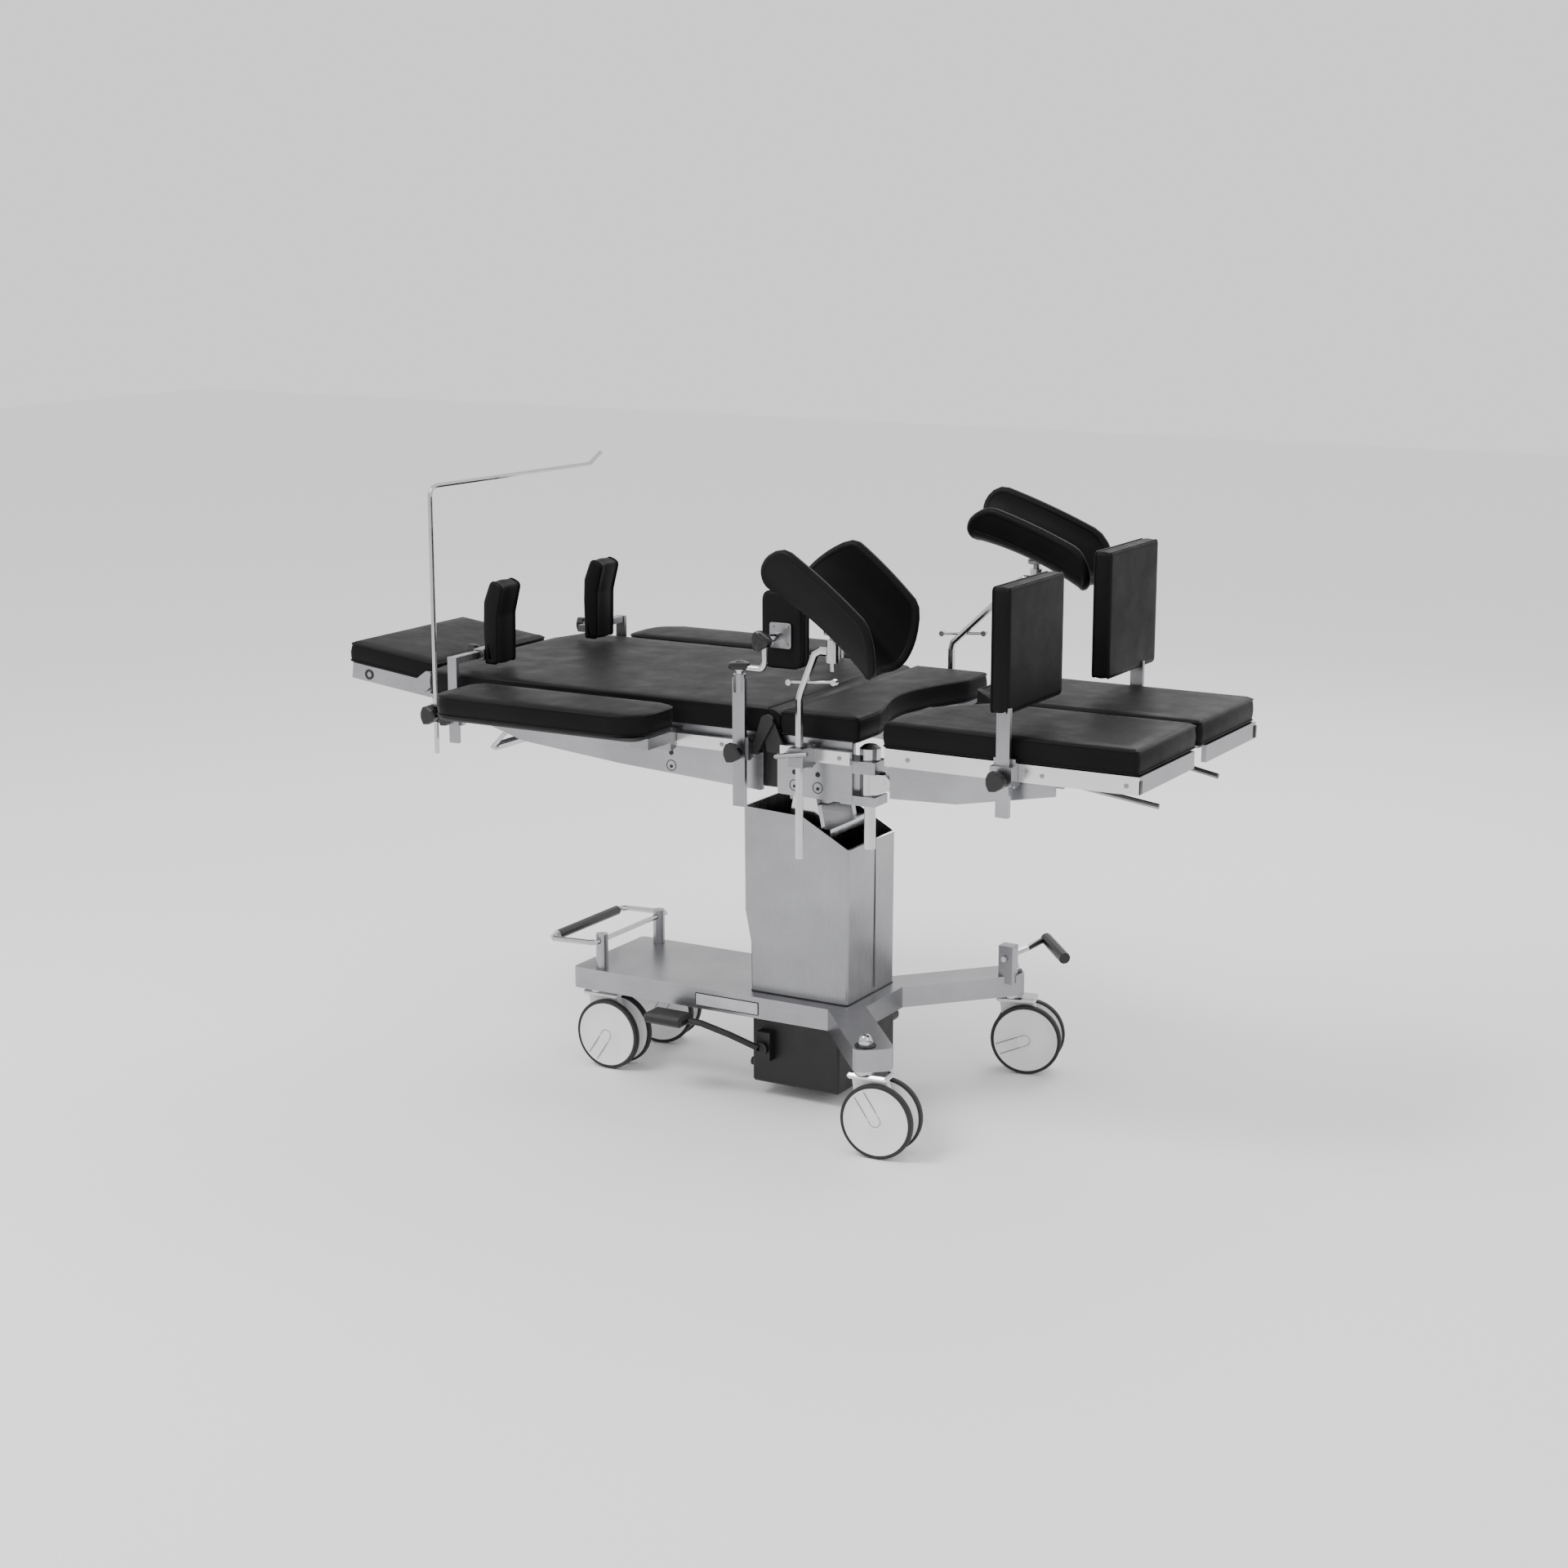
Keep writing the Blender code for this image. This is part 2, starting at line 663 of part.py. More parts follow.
def build_seat():
    edge = [(SEAM_X + SEAM_HALF, SEAT_HALF), (SEAM_X + SEAM_HALF, -SEAT_HALF), (SEAT_FOOT_X, -SEAT_HALF)]
    outline = edge + perineal_edge() + [(SEAT_FOOT_X, SEAT_HALF)]
    piece("seat_pad", "upholstery", slab(outline, PAD_BOTTOM, PAD_TOP, bevel=PAD_ROUND))
    low = PLATE_TOP - PLATE_T
    outline = [(SEAM_X + 0.020, 0.2685), (SEAM_X + 0.020, -0.2685), (0.216, -0.2685), (0.216, -0.17),
            (0.165, -0.06)]
    plate = slab(outline + [(0.165, 0.06), (0.216, 0.17), (0.216, 0.2685)], low, PLATE_TOP)
    beam = box((-0.072, 0.072), (-0.200, 0.200), (0.742, 0.774))
    adds = [beam, box((SEAM_X + 0.022, 0.072), (-0.272, 0.272), (0.742, low + 0.001))]
    cuts = []
    for hand in (-1, 1):
        y = lo_hi(hand, PANEL_Y, (PANEL_Y - PANEL_T))
        start = SEAM_X + 0.012
        side = [(start, 0.685), (0.216, 0.682), (0.216, PLATE_TOP), (start, PLATE_TOP)]
        adds.append(slab(round_corners(side, [0.006, 0.006, 0, 0]), y[0], y[1], plane="xz"))
        adds.append(rail((SEAM_X + 0.030, 0.222), hand))
        adds += spacers((0.095, 0.190), hand)
        eye_y = lo_hi(hand, (SEAT_HALF + 0.0015), (SEAT_HALF + 0.0065))
        eye = hinge_eye(SEAM_X, BACK_AXIS_Z, 0.015, eye_y, (SEAM_X - 0.002, SEAM_X + 0.040,
                RAIL_TOP - 0.018))
        adds.append(eye)
        adds.append(box((SEAM_X + 0.022, SEAM_X + 0.042),
                lo_hi(hand, PANEL_Y - 0.003, SEAT_HALF + 0.0065), (0.760, 0.780)))
        cuts.append(bore_y(SEAM_X, lo_hi(hand, 0.280, 0.300), BACK_AXIS_Z, SEAM_PIN_R))
        for end in (-1, 1):
            x = lo_hi(end, 0.0470, 0.0630)
            if hand < 0:
                adds.append(box(x, (-0.024, 0.024), (TILT_Z - 0.022, 0.750)))
                cuts.append(bore((end * 0.04, 0, TILT_Z), (end * 0.07, 0, TILT_Z), PINION_R))
        px, py = LEG_PIVOT
        socket_y = lo_hi(hand, (py - 0.026), (PANEL_Y - 0.001))
        adds.append(box((0.190, px + 0.024), socket_y, (0.742, 0.766)))
        adds.append(box((0.190, px + 0.024), socket_y, (0.680, 0.698)))
        adds.append(box((0.190, 0.212), socket_y, (0.682, 0.765)))
        cuts.append(bore_z(px, hand * py, (0.66, 0.79), LEG_STEM_R))
    piece("seat_frame", "stainless", plate, adds=adds, cuts=cuts, pivot=(0, 0, TILT_Z))


# Back and head
def back_outline(inset=0.0, foot=None):
    corner_x, corner_y = BACK_SHOULDER
    head = BACK_HEAD_X + inset
    half = SEAT_HALF - inset
    foot = SEAM_X - 0.004 if foot is None else foot
    return [
        (foot, half),
        (head + corner_x, half),
        (head, half - corner_y),
        (head, corner_y - half),
        (head + corner_x, -half),
        (foot, -half),
    ]


def build_back():
    pad = slab(back_outline(), PAD_BOTTOM, PAD_TOP, bevel=PAD_ROUND)
    nose = rod_y(SEAM_X, (0.006 - SEAT_HALF, SEAT_HALF - 0.006), BACK_AXIS_Z, PAD_T / 2 - GAP)
    piece("back_pad", "upholstery", pad, adds=[nose], pivot=(SEAM_X, 0, BACK_AXIS_Z))
    low = PLATE_TOP - PLATE_T
    plate = slab(back_outline(0.0165, -0.092), low, PLATE_TOP)
    adds = [box((-0.130, -0.100), (-0.272, 0.272), (0.752, low + 0.001))]
    adds.append(box((-0.625, -0.595), (-0.272, 0.272), (0.780, low + 0.001)))
    cuts = [bore_y(BAIL_AXIS[0], (-0.160, 0.160), BAIL_AXIS[1], BAIL_PIN_R)]
    for cheek in (-0.142, 0.142):
        adds.append(box((-0.650, -0.600), (cheek - 0.004, cheek + 0.004), (0.752, low + 0.001)))
    for hand in (-1, 1):
        y = lo_hi(hand, PANEL_Y, (PANEL_Y - PANEL_T))
        side = [(-0.640, 0.754), (-0.547, 0.727), (-0.309, 0.705), (SEAM_X - 0.020, 0.686)]
        side += [(SEAM_X - 0.020, PLATE_TOP), (-0.640, PLATE_TOP)]
        adds.append(slab(round_corners(side, [0.004, 0, 0, 0.006, 0, 0]), y[0], y[1], plane="xz"))
        adds.append(rail((-0.765, SEAM_X - 0.035), hand))
        adds += spacers((-0.060, -0.330, -0.600), hand)
        web_x = (SEAM_X - 0.034, SEAM_X - 0.020)
        adds.append(box(web_x, lo_hi(hand, PANEL_Y - 0.003, RAIL_Y - 0.0004), (0.762, 0.785)))
        adds.append(box((-0.765, -0.750), lo_hi(hand, 0.240, 0.2885), (0.764, low + 0.001)))
        eye_y = lo_hi(hand, RAIL_Y - 0.0052, RAIL_Y - 0.0004)
        adds.append(hinge_eye(SEAM_X, BACK_AXIS_Z, 0.015, eye_y, (*web_x, RAIL_TOP - 0.020)))
        adds.append(rod_y(SEAM_X, lo_hi(hand, RAIL_Y - 0.0102, RAIL_Y - 0.0004), BACK_AXIS_Z, SEAM_PIN_R))
        lug_y = tuple(sorted(hand * y for y in BACK_LUG_Y))
        neck = (HEAD_AXIS_X - 0.0085, HEAD_AXIS_X + 0.0085, 0.790)
        adds.append(hinge_eye(HEAD_AXIS_X, BACK_AXIS_Z, 0.0085, lug_y, neck))
        adds.append(box((neck[0], -0.720), lug_y, (0.776, low + 0.003)))
        cuts.append(bore_y(HEAD_AXIS_X, lo_hi(hand, 0.20, 0.23), BACK_AXIS_Z, HEAD_PIN_R))
    piece("back_frame", "stainless", plate, adds=adds, cuts=cuts, pivot=(SEAM_X, 0, BACK_AXIS_Z))


def build_head():
    """Head section about its hinge axis, level; its empty raises it."""
    gap = 0.011
    end = -(gap + HEAD_LENGTH)
    top = PAD_T / 2
    low = top - HEAD_T
    outline = round_corners(rectangle((end, -gap), (-HEAD_HALF, HEAD_HALF)), [0.012, 0.004, 0.004, 0.012])
    pad = slab(outline, low, top, bevel=PAD_ROUND)
    piece("head_pad", "upholstery", pad)
    plate_top = low - GAP
    plate = box((end + 0.012, -0.022), (-0.190, 0.190), (plate_top - 0.004, plate_top))
    adds = []
    cuts = []
    for hand in (-1, 1):
        y = lo_hi(hand, 0.188, 0.198)
        adds.append(box((end + 0.010, -0.022), y, (plate_top - 0.034, plate_top - 0.0005)))
        lug_y = tuple(sorted(hand * y for y in HEAD_LUG_Y))
        lug = arc((0, 0), 0.0085, -90, 90, 6) + [(-0.030, 0.004), (-0.060, -0.024), (-0.060, -0.048),
                (-0.030, -0.042)]
        adds.append(slab(lug, lug_y[0], lug_y[1], plane="xz"))
        adds.append(box((-0.058, -0.034), lo_hi(hand, 0.190, 0.2105), (-0.042, -0.027)))
        adds.append(rod_y(0, lo_hi(hand, 0.205, 0.2170), 0, HEAD_PIN_R))
        cuts.append(rod_y(end + 0.055, lo_hi(hand, 0.18, 0.22), plate_top - 0.018, 0.004))
    adds.append(box((end + 0.010, end + 0.018), (-0.196, 0.196), (plate_top - 0.034, plate_top - 0.0005)))
    adds.append(box((-0.060, -0.040), (-0.196, 0.196), (plate_top - 0.026, plate_top - 0.002)))
    piece("head_frame", "stainless", plate, adds=adds, cuts=cuts)


# Legs
def leg_outline(hand, inset=0.0):
    depth_x, depth_y = LEG_CHAMFER
    x0 = LEG_X0 + inset
    x1 = LEG_X1 - inset
    inner = LEG_INNER + inset
    outer = LEG_HALF - inset
    outline = [(x0, outer), (x0, depth_y + inset), (x0 + depth_x, inner), (x1, inner), (x1, outer)]
    return outline if hand > 0 else mirror_y(outline)


def build_leg(side, hand):
    px, py = LEG_PIVOT
    y = hand * py
    profile = [(0, 0.798), (0.012, 0.796), (0.021, 0.789), (0.0200, 0.7665), (LEG_STEM_R, 0.7665),
            (LEG_STEM_R, 0.7415)]
    profile += [(0.0200, 0.7415), (0.0200, 0.6985), (LEG_STEM_R, 0.6985), (LEG_STEM_R, 0.592), (0, 0.592)]
    stem = turned([(r, z - 0.720) for r, z in profile], (px, y, 0.720), steps=14)
    plates = []
    for offset in (-0.017, 0.011):
        low = y + offset
        outline = [(px, 0.700), (LEG_FOLD_X, 0.706)] + arc((LEG_FOLD_X, LEG_FOLD_Z), 0.016, -60, 90,
                5) + [(px, 0.7405)]
        plates.append(slab(outline, low, low + 0.006, plane="xz"))
    pin = rod_y(LEG_FOLD_X, (y - 0.018, y + 0.018), LEG_FOLD_Z, LEG_PIN_R)
    piece("leg_hinge_" + side, "chrome", stem, adds=plates + [pin], pivot=(px, y, 0.720))
    pivot = (LEG_FOLD_X, y, LEG_FOLD_Z)
    piece("leg_pad_" + side, "upholstery", slab(leg_outline(hand), PAD_BOTTOM, PAD_TOP, bevel=PAD_ROUND),
            pivot=pivot)
    low = PLATE_TOP - PLATE_T
    plate = slab(leg_outline(hand, 0.008), low, PLATE_TOP)
    eye = arc((LEG_FOLD_X, LEG_FOLD_Z), 0.0115, 90, 270, 5) + [(0.330, 0.7145), (0.330, low + 0.001),
            (0.300, low + 0.001)]
    tongue = slab(eye, y - 0.0105, y + 0.0105, plane="xz")
    adds = [tongue]
    rail_y = lo_hi(hand, LEG_HALF - RAIL_T, LEG_HALF)
    adds.append(box((LEG_X0 + 0.006, LEG_X1 + 0.004), rail_y, (low - LEG_RAIL_H + 0.005, PLATE_TOP)))
    side_view = [(0.300, 0.703), (0.440, 0.708), (0.640, 0.745), (0.640, low + 0.001),
            (0.300, low + 0.001)]
    adds.append(slab(side_view, *lo_hi(hand, 0.2765, 0.2815), plane="xz"))
    adds.append(box((0.300, 0.330), lo_hi(hand, py - 0.012, 0.2815), (0.7150, low + 0.001)))
    adds.append(box((0.600, 0.640), lo_hi(hand, LEG_HALF - 0.020, LEG_HALF - 0.001),
            (0.772, low + 0.001)))
    adds.append(box((0.330, 0.345), lo_hi(hand, LEG_HALF - 0.020, LEG_HALF - 0.001),
            (0.772, low + 0.001)))
    adds.append(box((LEG_X1 - 0.006, LEG_X1 + 0.004), lo_hi(hand, 0.030, LEG_HALF - 0.002),
            (low - 0.028, PLATE_TOP)))
    adds.append(box((0.600, 0.616), lo_hi(hand, 0.060, 0.2785), (0.762, low + 0.001)))
    hole = bore_y(LEG_FOLD_X, (y - 0.03, y + 0.03), LEG_FOLD_Z, LEG_PIN_R)
    for cheek in (0.130, 0.190):
        adds.append(box((0.598, 0.618), lo_hi(hand, cheek - 0.003, cheek + 0.003), (0.740, 0.770)))
    cuts = [bore_y(0.608, lo_hi(hand, 0.110, 0.210), 0.7500, LEG_LEVER_R)]
    bolt_hole = rod_y(0.345, lo_hi(hand, 0.284, 0.300), 0.784, 0.0035)
    piece("leg_frame_" + side, "stainless", plate, adds=adds, cuts=cuts + [hole, bolt_hole], pivot=pivot)
    lever_y = hand * 0.165
    shaft = rod_y(0.608, (lever_y - 0.030, lever_y + 0.030), 0.7500, LEG_LEVER_R)
    path = [(0.608, lever_y, 0.7500), (0.640, lever_y, 0.7420), (0.790, hand * 0.150, 0.7180)]
    rod_part = tube(path, 0.0055)
    piece("leg_lever_" + side, "black_plastic", shaft, adds=[rod_part], pivot=(0.608, lever_y, 0.7500))


# Accessories on the back and seat rails


def build_arm_board(side, hand):
    head_x = ARM_BOARD_HEAD_X[side]
    corners = rectangle((head_x, -0.140), lo_hi(hand, RAIL_Y + 0.028, RAIL_Y + 0.183))
    radii = [0.042, 0.068, 0.036, 0.030] if hand < 0 else [0.040, 0.020, 0.036, 0.070]
    pivot_x = ARM_BOARD_PIVOT_X
    pad = slab(round_corners(corners, radii, 3), 0.8033, 0.8490, bevel=PAD_ROUND)
    tray = box((head_x + 0.090, pivot_x + 0.026), lo_hi(hand, 0.345, 0.460), (0.7985, 0.8050))
    hub = rod_z(pivot_x, hand * 0.372, (0.7905, 0.8010), 0.022)
    spindle = rod_z(pivot_x, hand * 0.372, (0.764, 0.800), SPINDLE_R)
    pivot = (pivot_x, hand * 0.372, 0.80)
    piece("arm_board_" + side, "upholstery", pad, adds=[tray, hub, spindle], pivot=pivot)
    arm = box((pivot_x - 0.022, pivot_x + 0.022), lo_hi(hand, 0.3065, 0.394), (0.768, 0.790))
    hook = rail_hook(pivot_x, hand, 0.040)
    hole = bore_z(pivot_x, hand * 0.372, (0.75, 0.80), SPINDLE_R)
    piece("arm_board_bracket_" + side, "steel", arm, adds=hook, cuts=[hole])


def rail_hook(x, hand, width, top=RAIL_TOP, height=RAIL_H, upper_lip=True):
    """Jaw that grips a rail from outside: outer plate, upper and lower lips."""
    span = (x - width / 2, x + width / 2)
    low = top - height
    face = box(span, lo_hi(hand, RAIL_Y + GAP, RAIL_Y + 0.012), (low - 0.010, top + 0.010))
    lip_y = lo_hi(hand, RAIL_Y - RAIL_T + 0.001, RAIL_Y + 0.002)
    lips = [box(span, lip_y, (low - 0.007, low - GAP))]
    if upper_lip:
        lips.insert(0, box(span, lip_y, (top + GAP, top + 0.007)))
    return [face] + lips


def knob_outline(x, z, radius):
    """Three-lobed grip."""
    outline = []
    for step in range(KNOB_POINTS):
        angle = math.tau * step / KNOB_POINTS
        reach = radius * (1.0 + 0.14 * math.cos(3 * angle))
        outline.append((x + reach * math.cos(angle), z + reach * math.sin(angle)))
    return outline


def clamp_knob(x, hand, z, out=0.0345, root=0.006):
    """Knob and stud that point away from the table, for a rail clamp."""
    grip = slab(knob_outline(x, z, 0.019), *lo_hi(hand, RAIL_Y + out, RAIL_Y + out + 0.019), plane="xz",
            bevel=0.004)
    return [grip, rod_y(x, lo_hi(hand, RAIL_Y + root, RAIL_Y + out + 0.004), z, 0.006)]


def build_screen():
    x = -0.732
    hand = -1
    y = -(RAIL_Y + 0.022)
    block = box((x - 0.014, x + 0.014), (-(RAIL_Y + 0.034), -(RAIL_Y + 0.010)), (0.758, 0.790))
    hole = bore_z(x, y, (0.74, 0.80), SCREEN_ROD_R)
    knob = clamp_knob(x, hand, 0.773, out=0.037, root=0.031)
    piece("screen_clamp", "steel", block, adds=rail_hook(x, hand, 0.028) + knob, cuts=[hole])
    top = 1.239
    path = [(x, y, 0.690), (x, y, top - 0.020)]
    path += [(x, y + 0.020 - c, top - 0.020 + s) for c, s in arc((0, 0), 0.020, 0, 90, 4)[1:]]
    path += [(x + 0.030, 0.215, top), (x + 0.032, 0.255, top + 0.022)]
    piece("screen_rod", "chrome", tube(path, SCREEN_ROD_R), pivot=(x, y, 0.774))


def flat_post(x, hand, low, high, width=0.027, thick=0.009):
    y = lo_hi(hand, RAIL_Y + 0.0115, RAIL_Y + 0.0115 + thick)
    return box((x - width / 2, x + width / 2), y, (low, high))


def build_shoulder(side, hand):
    x = SHOULDER_X
    post = flat_post(x, hand, 0.715, 0.893, width=0.022)
    arm = box((x - 0.009, x + 0.009), lo_hi(hand, 0.155, 0.3165),
            (SHOULDER_ARM_Z - 0.007, SHOULDER_ARM_Z + 0.007))
    adds = [arm] + rail_hook(x, hand, 0.030) + clamp_knob(x, hand, 0.774)
    piece("shoulder_bracket_" + side, "stainless", post, adds=adds)
    sleeve = box((x - 0.013, x + 0.013), lo_hi(hand, 0.180, 0.225),
            (SHOULDER_ARM_Z - 0.011, SHOULDER_ARM_Z + 0.011))
    slide = box((x - 0.0094, x + 0.0094), lo_hi(hand, 0.17, 0.24),
            (SHOULDER_ARM_Z - 0.0074, SHOULDER_ARM_Z + 0.0074))
    side_view = [(x + 0.010, 0.866), (x + 0.042, 0.866), (x + 0.044, 0.968), (x + 0.060, 1.030),
            (x + 0.030, 1.044)]
    side_view += [(x + 0.011, 0.995), (x + 0.008, 0.950)]
    outline = round_corners(side_view, [0.004, 0.008, 0.050, 0.012, 0.014, 0.030, 0.040])
    pad = slab(outline, *lo_hi(hand, 0.150, 0.220), plane="xz", bevel=0.007)
    pivot = (x, hand * 0.2025, SHOULDER_ARM_Z)
    stud_y = hand * 0.2025
    stud = rod((x - 0.012, stud_y, SHOULDER_ARM_Z), (x - 0.026, stud_y, SHOULDER_ARM_Z), KNOB_STUD_R)
    piece("shoulder_pad_" + side, "upholstery", pad, adds=[sleeve, stud], cuts=[slide], pivot=pivot)
    grip = slab(knob_outline(stud_y, SHOULDER_ARM_Z, 0.0165), x - 0.038, x - 0.020, plane="yz",
            bevel=0.004)
    hole = bore((x - 0.0263, stud_y, SHOULDER_ARM_Z), (x - 0.010, stud_y, SHOULDER_ARM_Z), KNOB_STUD_R)
    piece(
        "shoulder_knob_" + side,
        "black_plastic",
        grip,
        cuts=[hole],
        pivot=(x - 0.029, stud_y, SHOULDER_ARM_Z),
    )


def build_side_support(side, hand, x):
    y = hand * (RAIL_Y + 0.016)
    post = flat_post(x, hand, 0.660, 0.912)
    adds = rail_hook(x, hand, 0.034) + clamp_knob(x, hand, 0.770)
    socket = rod_z(x, y, (0.885, 0.920), 0.0125)
    hole = bore_z(x, y, (0.8999, 0.930), SPINDLE_R)
    piece("side_support_post_" + side, "stainless", post, adds=adds + [socket], cuts=[hole])
    spigot = rod_z(x, y, (0.9003, 0.934), SPINDLE_R)
    cap = turned([(0, 0.013), (0.016, 0.012), (0.020, 0.008), (0.020, 0.003), (0.012, 0), (0, 0)],
            (x, y, 0.928))
    arm = tube([(x, y, 0.9265), (x + 0.045, y + hand * 0.002, 0.9265), (x + 0.055, y, 0.934),
            (x + 0.056, y, 0.991)], 0.0062)
    reach = rod((x + 0.056, y + hand * 0.004, 0.990), (x + 0.056, hand * 0.250, 0.990), 0.0075)
    grip = slab(knob_outline(x + 0.056, 0.990, 0.0165), *lo_hi(hand, 0.316, 0.338), plane="xz",
            bevel=0.004)
    plate = box((x + 0.032, x + 0.080), lo_hi(hand, 0.248, 0.256), (0.965, 1.015))
    outline = round_corners(rectangle((x + 0.012, x + 0.100), (0.925, 1.075)), 0.022)
    pad = slab(outline, *lo_hi(hand, 0.216, 0.2485), plane="xz", bevel=0.008)
    adds = [cap, arm, reach, grip, plate, pad]
    piece("side_support_arm_" + side, "upholstery", spigot, adds=adds, pivot=(x, y, 0.920))


# Leg holders
def trough_point(side_name, u, v):
    """Middle surface of the knee trough: u runs along it, v across from the outer to the inner lip."""
    side = abs(v)
    lip = OUTER_WING[side_name] if v < 0 else INNER_WING[side_name]
    head, foot, head_rise, foot_rise = (b + (w - b) * side ** 2 for b, w in zip(TROUGH_BOTTOM, lip))
    along = head + (foot - head) * u
    rise = (head_rise + (foot_rise - head_rise) * u) * side ** 0.4
    across = TROUGH_HALF * math.sin(side * math.pi / 2) ** 0.85
    flare = 0.014 * max(0.0, side - 0.7) / 0.3
    droop = 0.012 * (2 * abs(u - 0.45)) ** 2
    return (along, math.copysign(across + flare, v), rise - droop)


def trough_shell(side_name):
    """Open sheet made by formula; Solidify gives it its padded thickness."""
    bm = bmesh.new()
    rows = []
    for i in range(TROUGH_ALONG + 1):
        u = i / TROUGH_ALONG
        row = []
        for j in range(TROUGH_ACROSS + 1):
            v = 2 * j / TROUGH_ACROSS - 1
            round_off = 0.42 * abs(v) ** 5
            eased = 0.5 + (u - 0.5) * (1 - round_off)
            row.append(bm.verts.new(trough_point(side_name, eased, v)))
        rows.append(row)
    for i in range(TROUGH_ALONG):
        for j in range(TROUGH_ACROSS):
            bm.faces.new((rows[i][j], rows[i + 1][j], rows[i + 1][j + 1], rows[i][j + 1]))
    shape = from_bmesh(bm)
    skin = shape.modifiers.new("Solidify", "SOLIDIFY")
    skin.thickness = TROUGH_T
    skin.offset = 0.0
    return shape


def build_holder(side, hand):
    x = HOLDER_X
    y = hand * HOLDER_Y
    block = box((x - 0.016, x + 0.016), lo_hi(hand, HOLDER_Y - 0.016, HOLDER_Y + 0.016), (0.755, 0.792))
    screw = rod((x - 0.010, y, 0.774), (x - 0.032, y, 0.774), 0.005)
    lever = [(x - 0.030, y, 0.774), (x - 0.034, y + hand * 0.030, 0.776),
            (x + 0.036, y + hand * 0.034, 0.788)]
    handle = tube(lever, 0.0045)
    hole = bore_z(x, y, (0.74, 0.80), HOLDER_POST_R)
    adds = rail_hook(x, hand, 0.032) + [screw, handle]
    piece("leg_holder_clamp_" + side, "steel", block, adds=adds, cuts=[hole])
    knee_x, knee_z = HOLDER_KNEES[side]
    bend_x = x + 0.028 + (knee_x - x - 0.066)
    path = [(x, y, 0.575), (x, y, 0.885), (x + 0.004, y, 0.900), (bend_x, y, knee_z - 0.007)]
    path += [(bend_x + 0.012, y, knee_z), (knee_x, y, knee_z)]
    post = tube(path, HOLDER_POST_R)
    socket = rod_z(knee_x, y, (knee_z - 0.020, knee_z + 0.023), 0.0130)
    bar = rod((x - 0.022, y, 0.916), (x + 0.075, y, 0.924), 0.0030, sides=12)
    tips = [rod_y(x - 0.022, (y - 0.005, y + 0.005), 0.916, 0.0062),
            rod_y(x + 0.075, (y - 0.005, y + 0.005), 0.924, 0.0062)]
    pin = rod_z(knee_x, y, (knee_z - 0.037, knee_z - 0.015), 0.0055)
    seat = bore_z(knee_x, y, (knee_z + 0.0149, knee_z + 0.035), STALK_R)
    piece("leg_holder_post_" + side, "chrome", post, adds=[socket, bar, pin] + tips, cuts=[seat],
            pivot=(x, y, 0.774))
    return (knee_x, y, knee_z + 0.050)


def build_shell(side, hand):
    """Trough about its joint, its stalk hanging below it."""
    shape = trough_shell(side)
    if hand > 0:
        shape.data.transform(Matrix.Scale(-1, 4, (0, 1, 0)))
        shape.data.flip_normals()
    stalk = rod_z(0, 0, (-0.030, -0.004), STALK_R)
    boss = rod_z(0, 0, (-0.017, -0.008), 0.018)
    shape.data.transform(Matrix.Rotation(TROUGH_PITCH[side], 4, "Y"))
    piece("leg_holder_shell_" + side, "upholstery", shape, adds=[boss, stalk])


def build_holders():
    for side, hand in SIDES:
        knee = build_holder(side, hand)
        under_empty("leg_holder_joint_" + side, knee, (0, 0, 0), lambda: build_shell(side, hand))


# Foot boards


def build_foot_board(side, hand):
    (inner, outer), (low, high) = FOOT_BOARDS[side]
    x = FOOT_X
    board = box(FOOT_BOARD, lo_hi(hand, inner, outer), (low, high), bevel=0.007)
    post = flat_post(x - 0.002, hand, 0.702, low + 0.030)
    foot_pivot = (x, hand * (RAIL_Y + 0.016), 0.785)
    piece("foot_board_" + side, "upholstery", board, adds=[post], pivot=foot_pivot)
    sleeve = box((x - 0.024, x + 0.020), lo_hi(hand, RAIL_Y + 0.008, RAIL_Y + 0.029), (0.764, 0.800))
    slot = box((x - 0.0160, x + 0.0120), lo_hi(hand, RAIL_Y + 0.0110, RAIL_Y + 0.0210), (0.75, 0.82))
    hook = rail_hook(x - 0.002, hand, 0.044, top=PLATE_TOP, height=LEG_RAIL_H, upper_lip=False)
    knob = clamp_knob(x - 0.002, hand, 0.776, out=0.040, root=0.024)
    piece("foot_board_clamp_" + side, "steel", sleeve, adds=hook + knob, cuts=[slot])


# Release bail under the back section
def build_bail():
    x, z = BAIL_AXIS
    axle = rod_y(x, (-0.150, 0.150), z, BAIL_PIN_R)
    grip_x, grip_z = x - 0.090, 0.668
    near = tube([(x, -0.128, z), (grip_x, -0.128, grip_z), (grip_x, -0.060, grip_z)], 0.0048)
    far = tube([(x, 0.128, z), (grip_x, 0.128, grip_z), (grip_x, 0.060, grip_z)], 0.0048)
    grip = rod_y(grip_x, (-0.118, 0.118), grip_z, 0.0095)
    piece("back_release_bail", "black_plastic", axle, adds=[near, far, grip], pivot=(x, 0, z))


def build_all():
    build_base()
    build_column()
    build_levers()
    build_casters()
    build_lift()
    build_yoke()
    build_seat()
    build_back()
    build_bail()
    under_empty("head_raise", (HEAD_AXIS_X, 0, BACK_AXIS_Z), (0, HEAD_RAISE, 0), build_head)
    build_screen()
    build_holders()
    for side, hand in SIDES:
        build_leg(side, hand)
        build_arm_board(side, hand)
        build_shoulder(side, hand)
        build_side_support(side, hand, SIDE_SUPPORT_X[side])
        build_foot_board(side, hand)


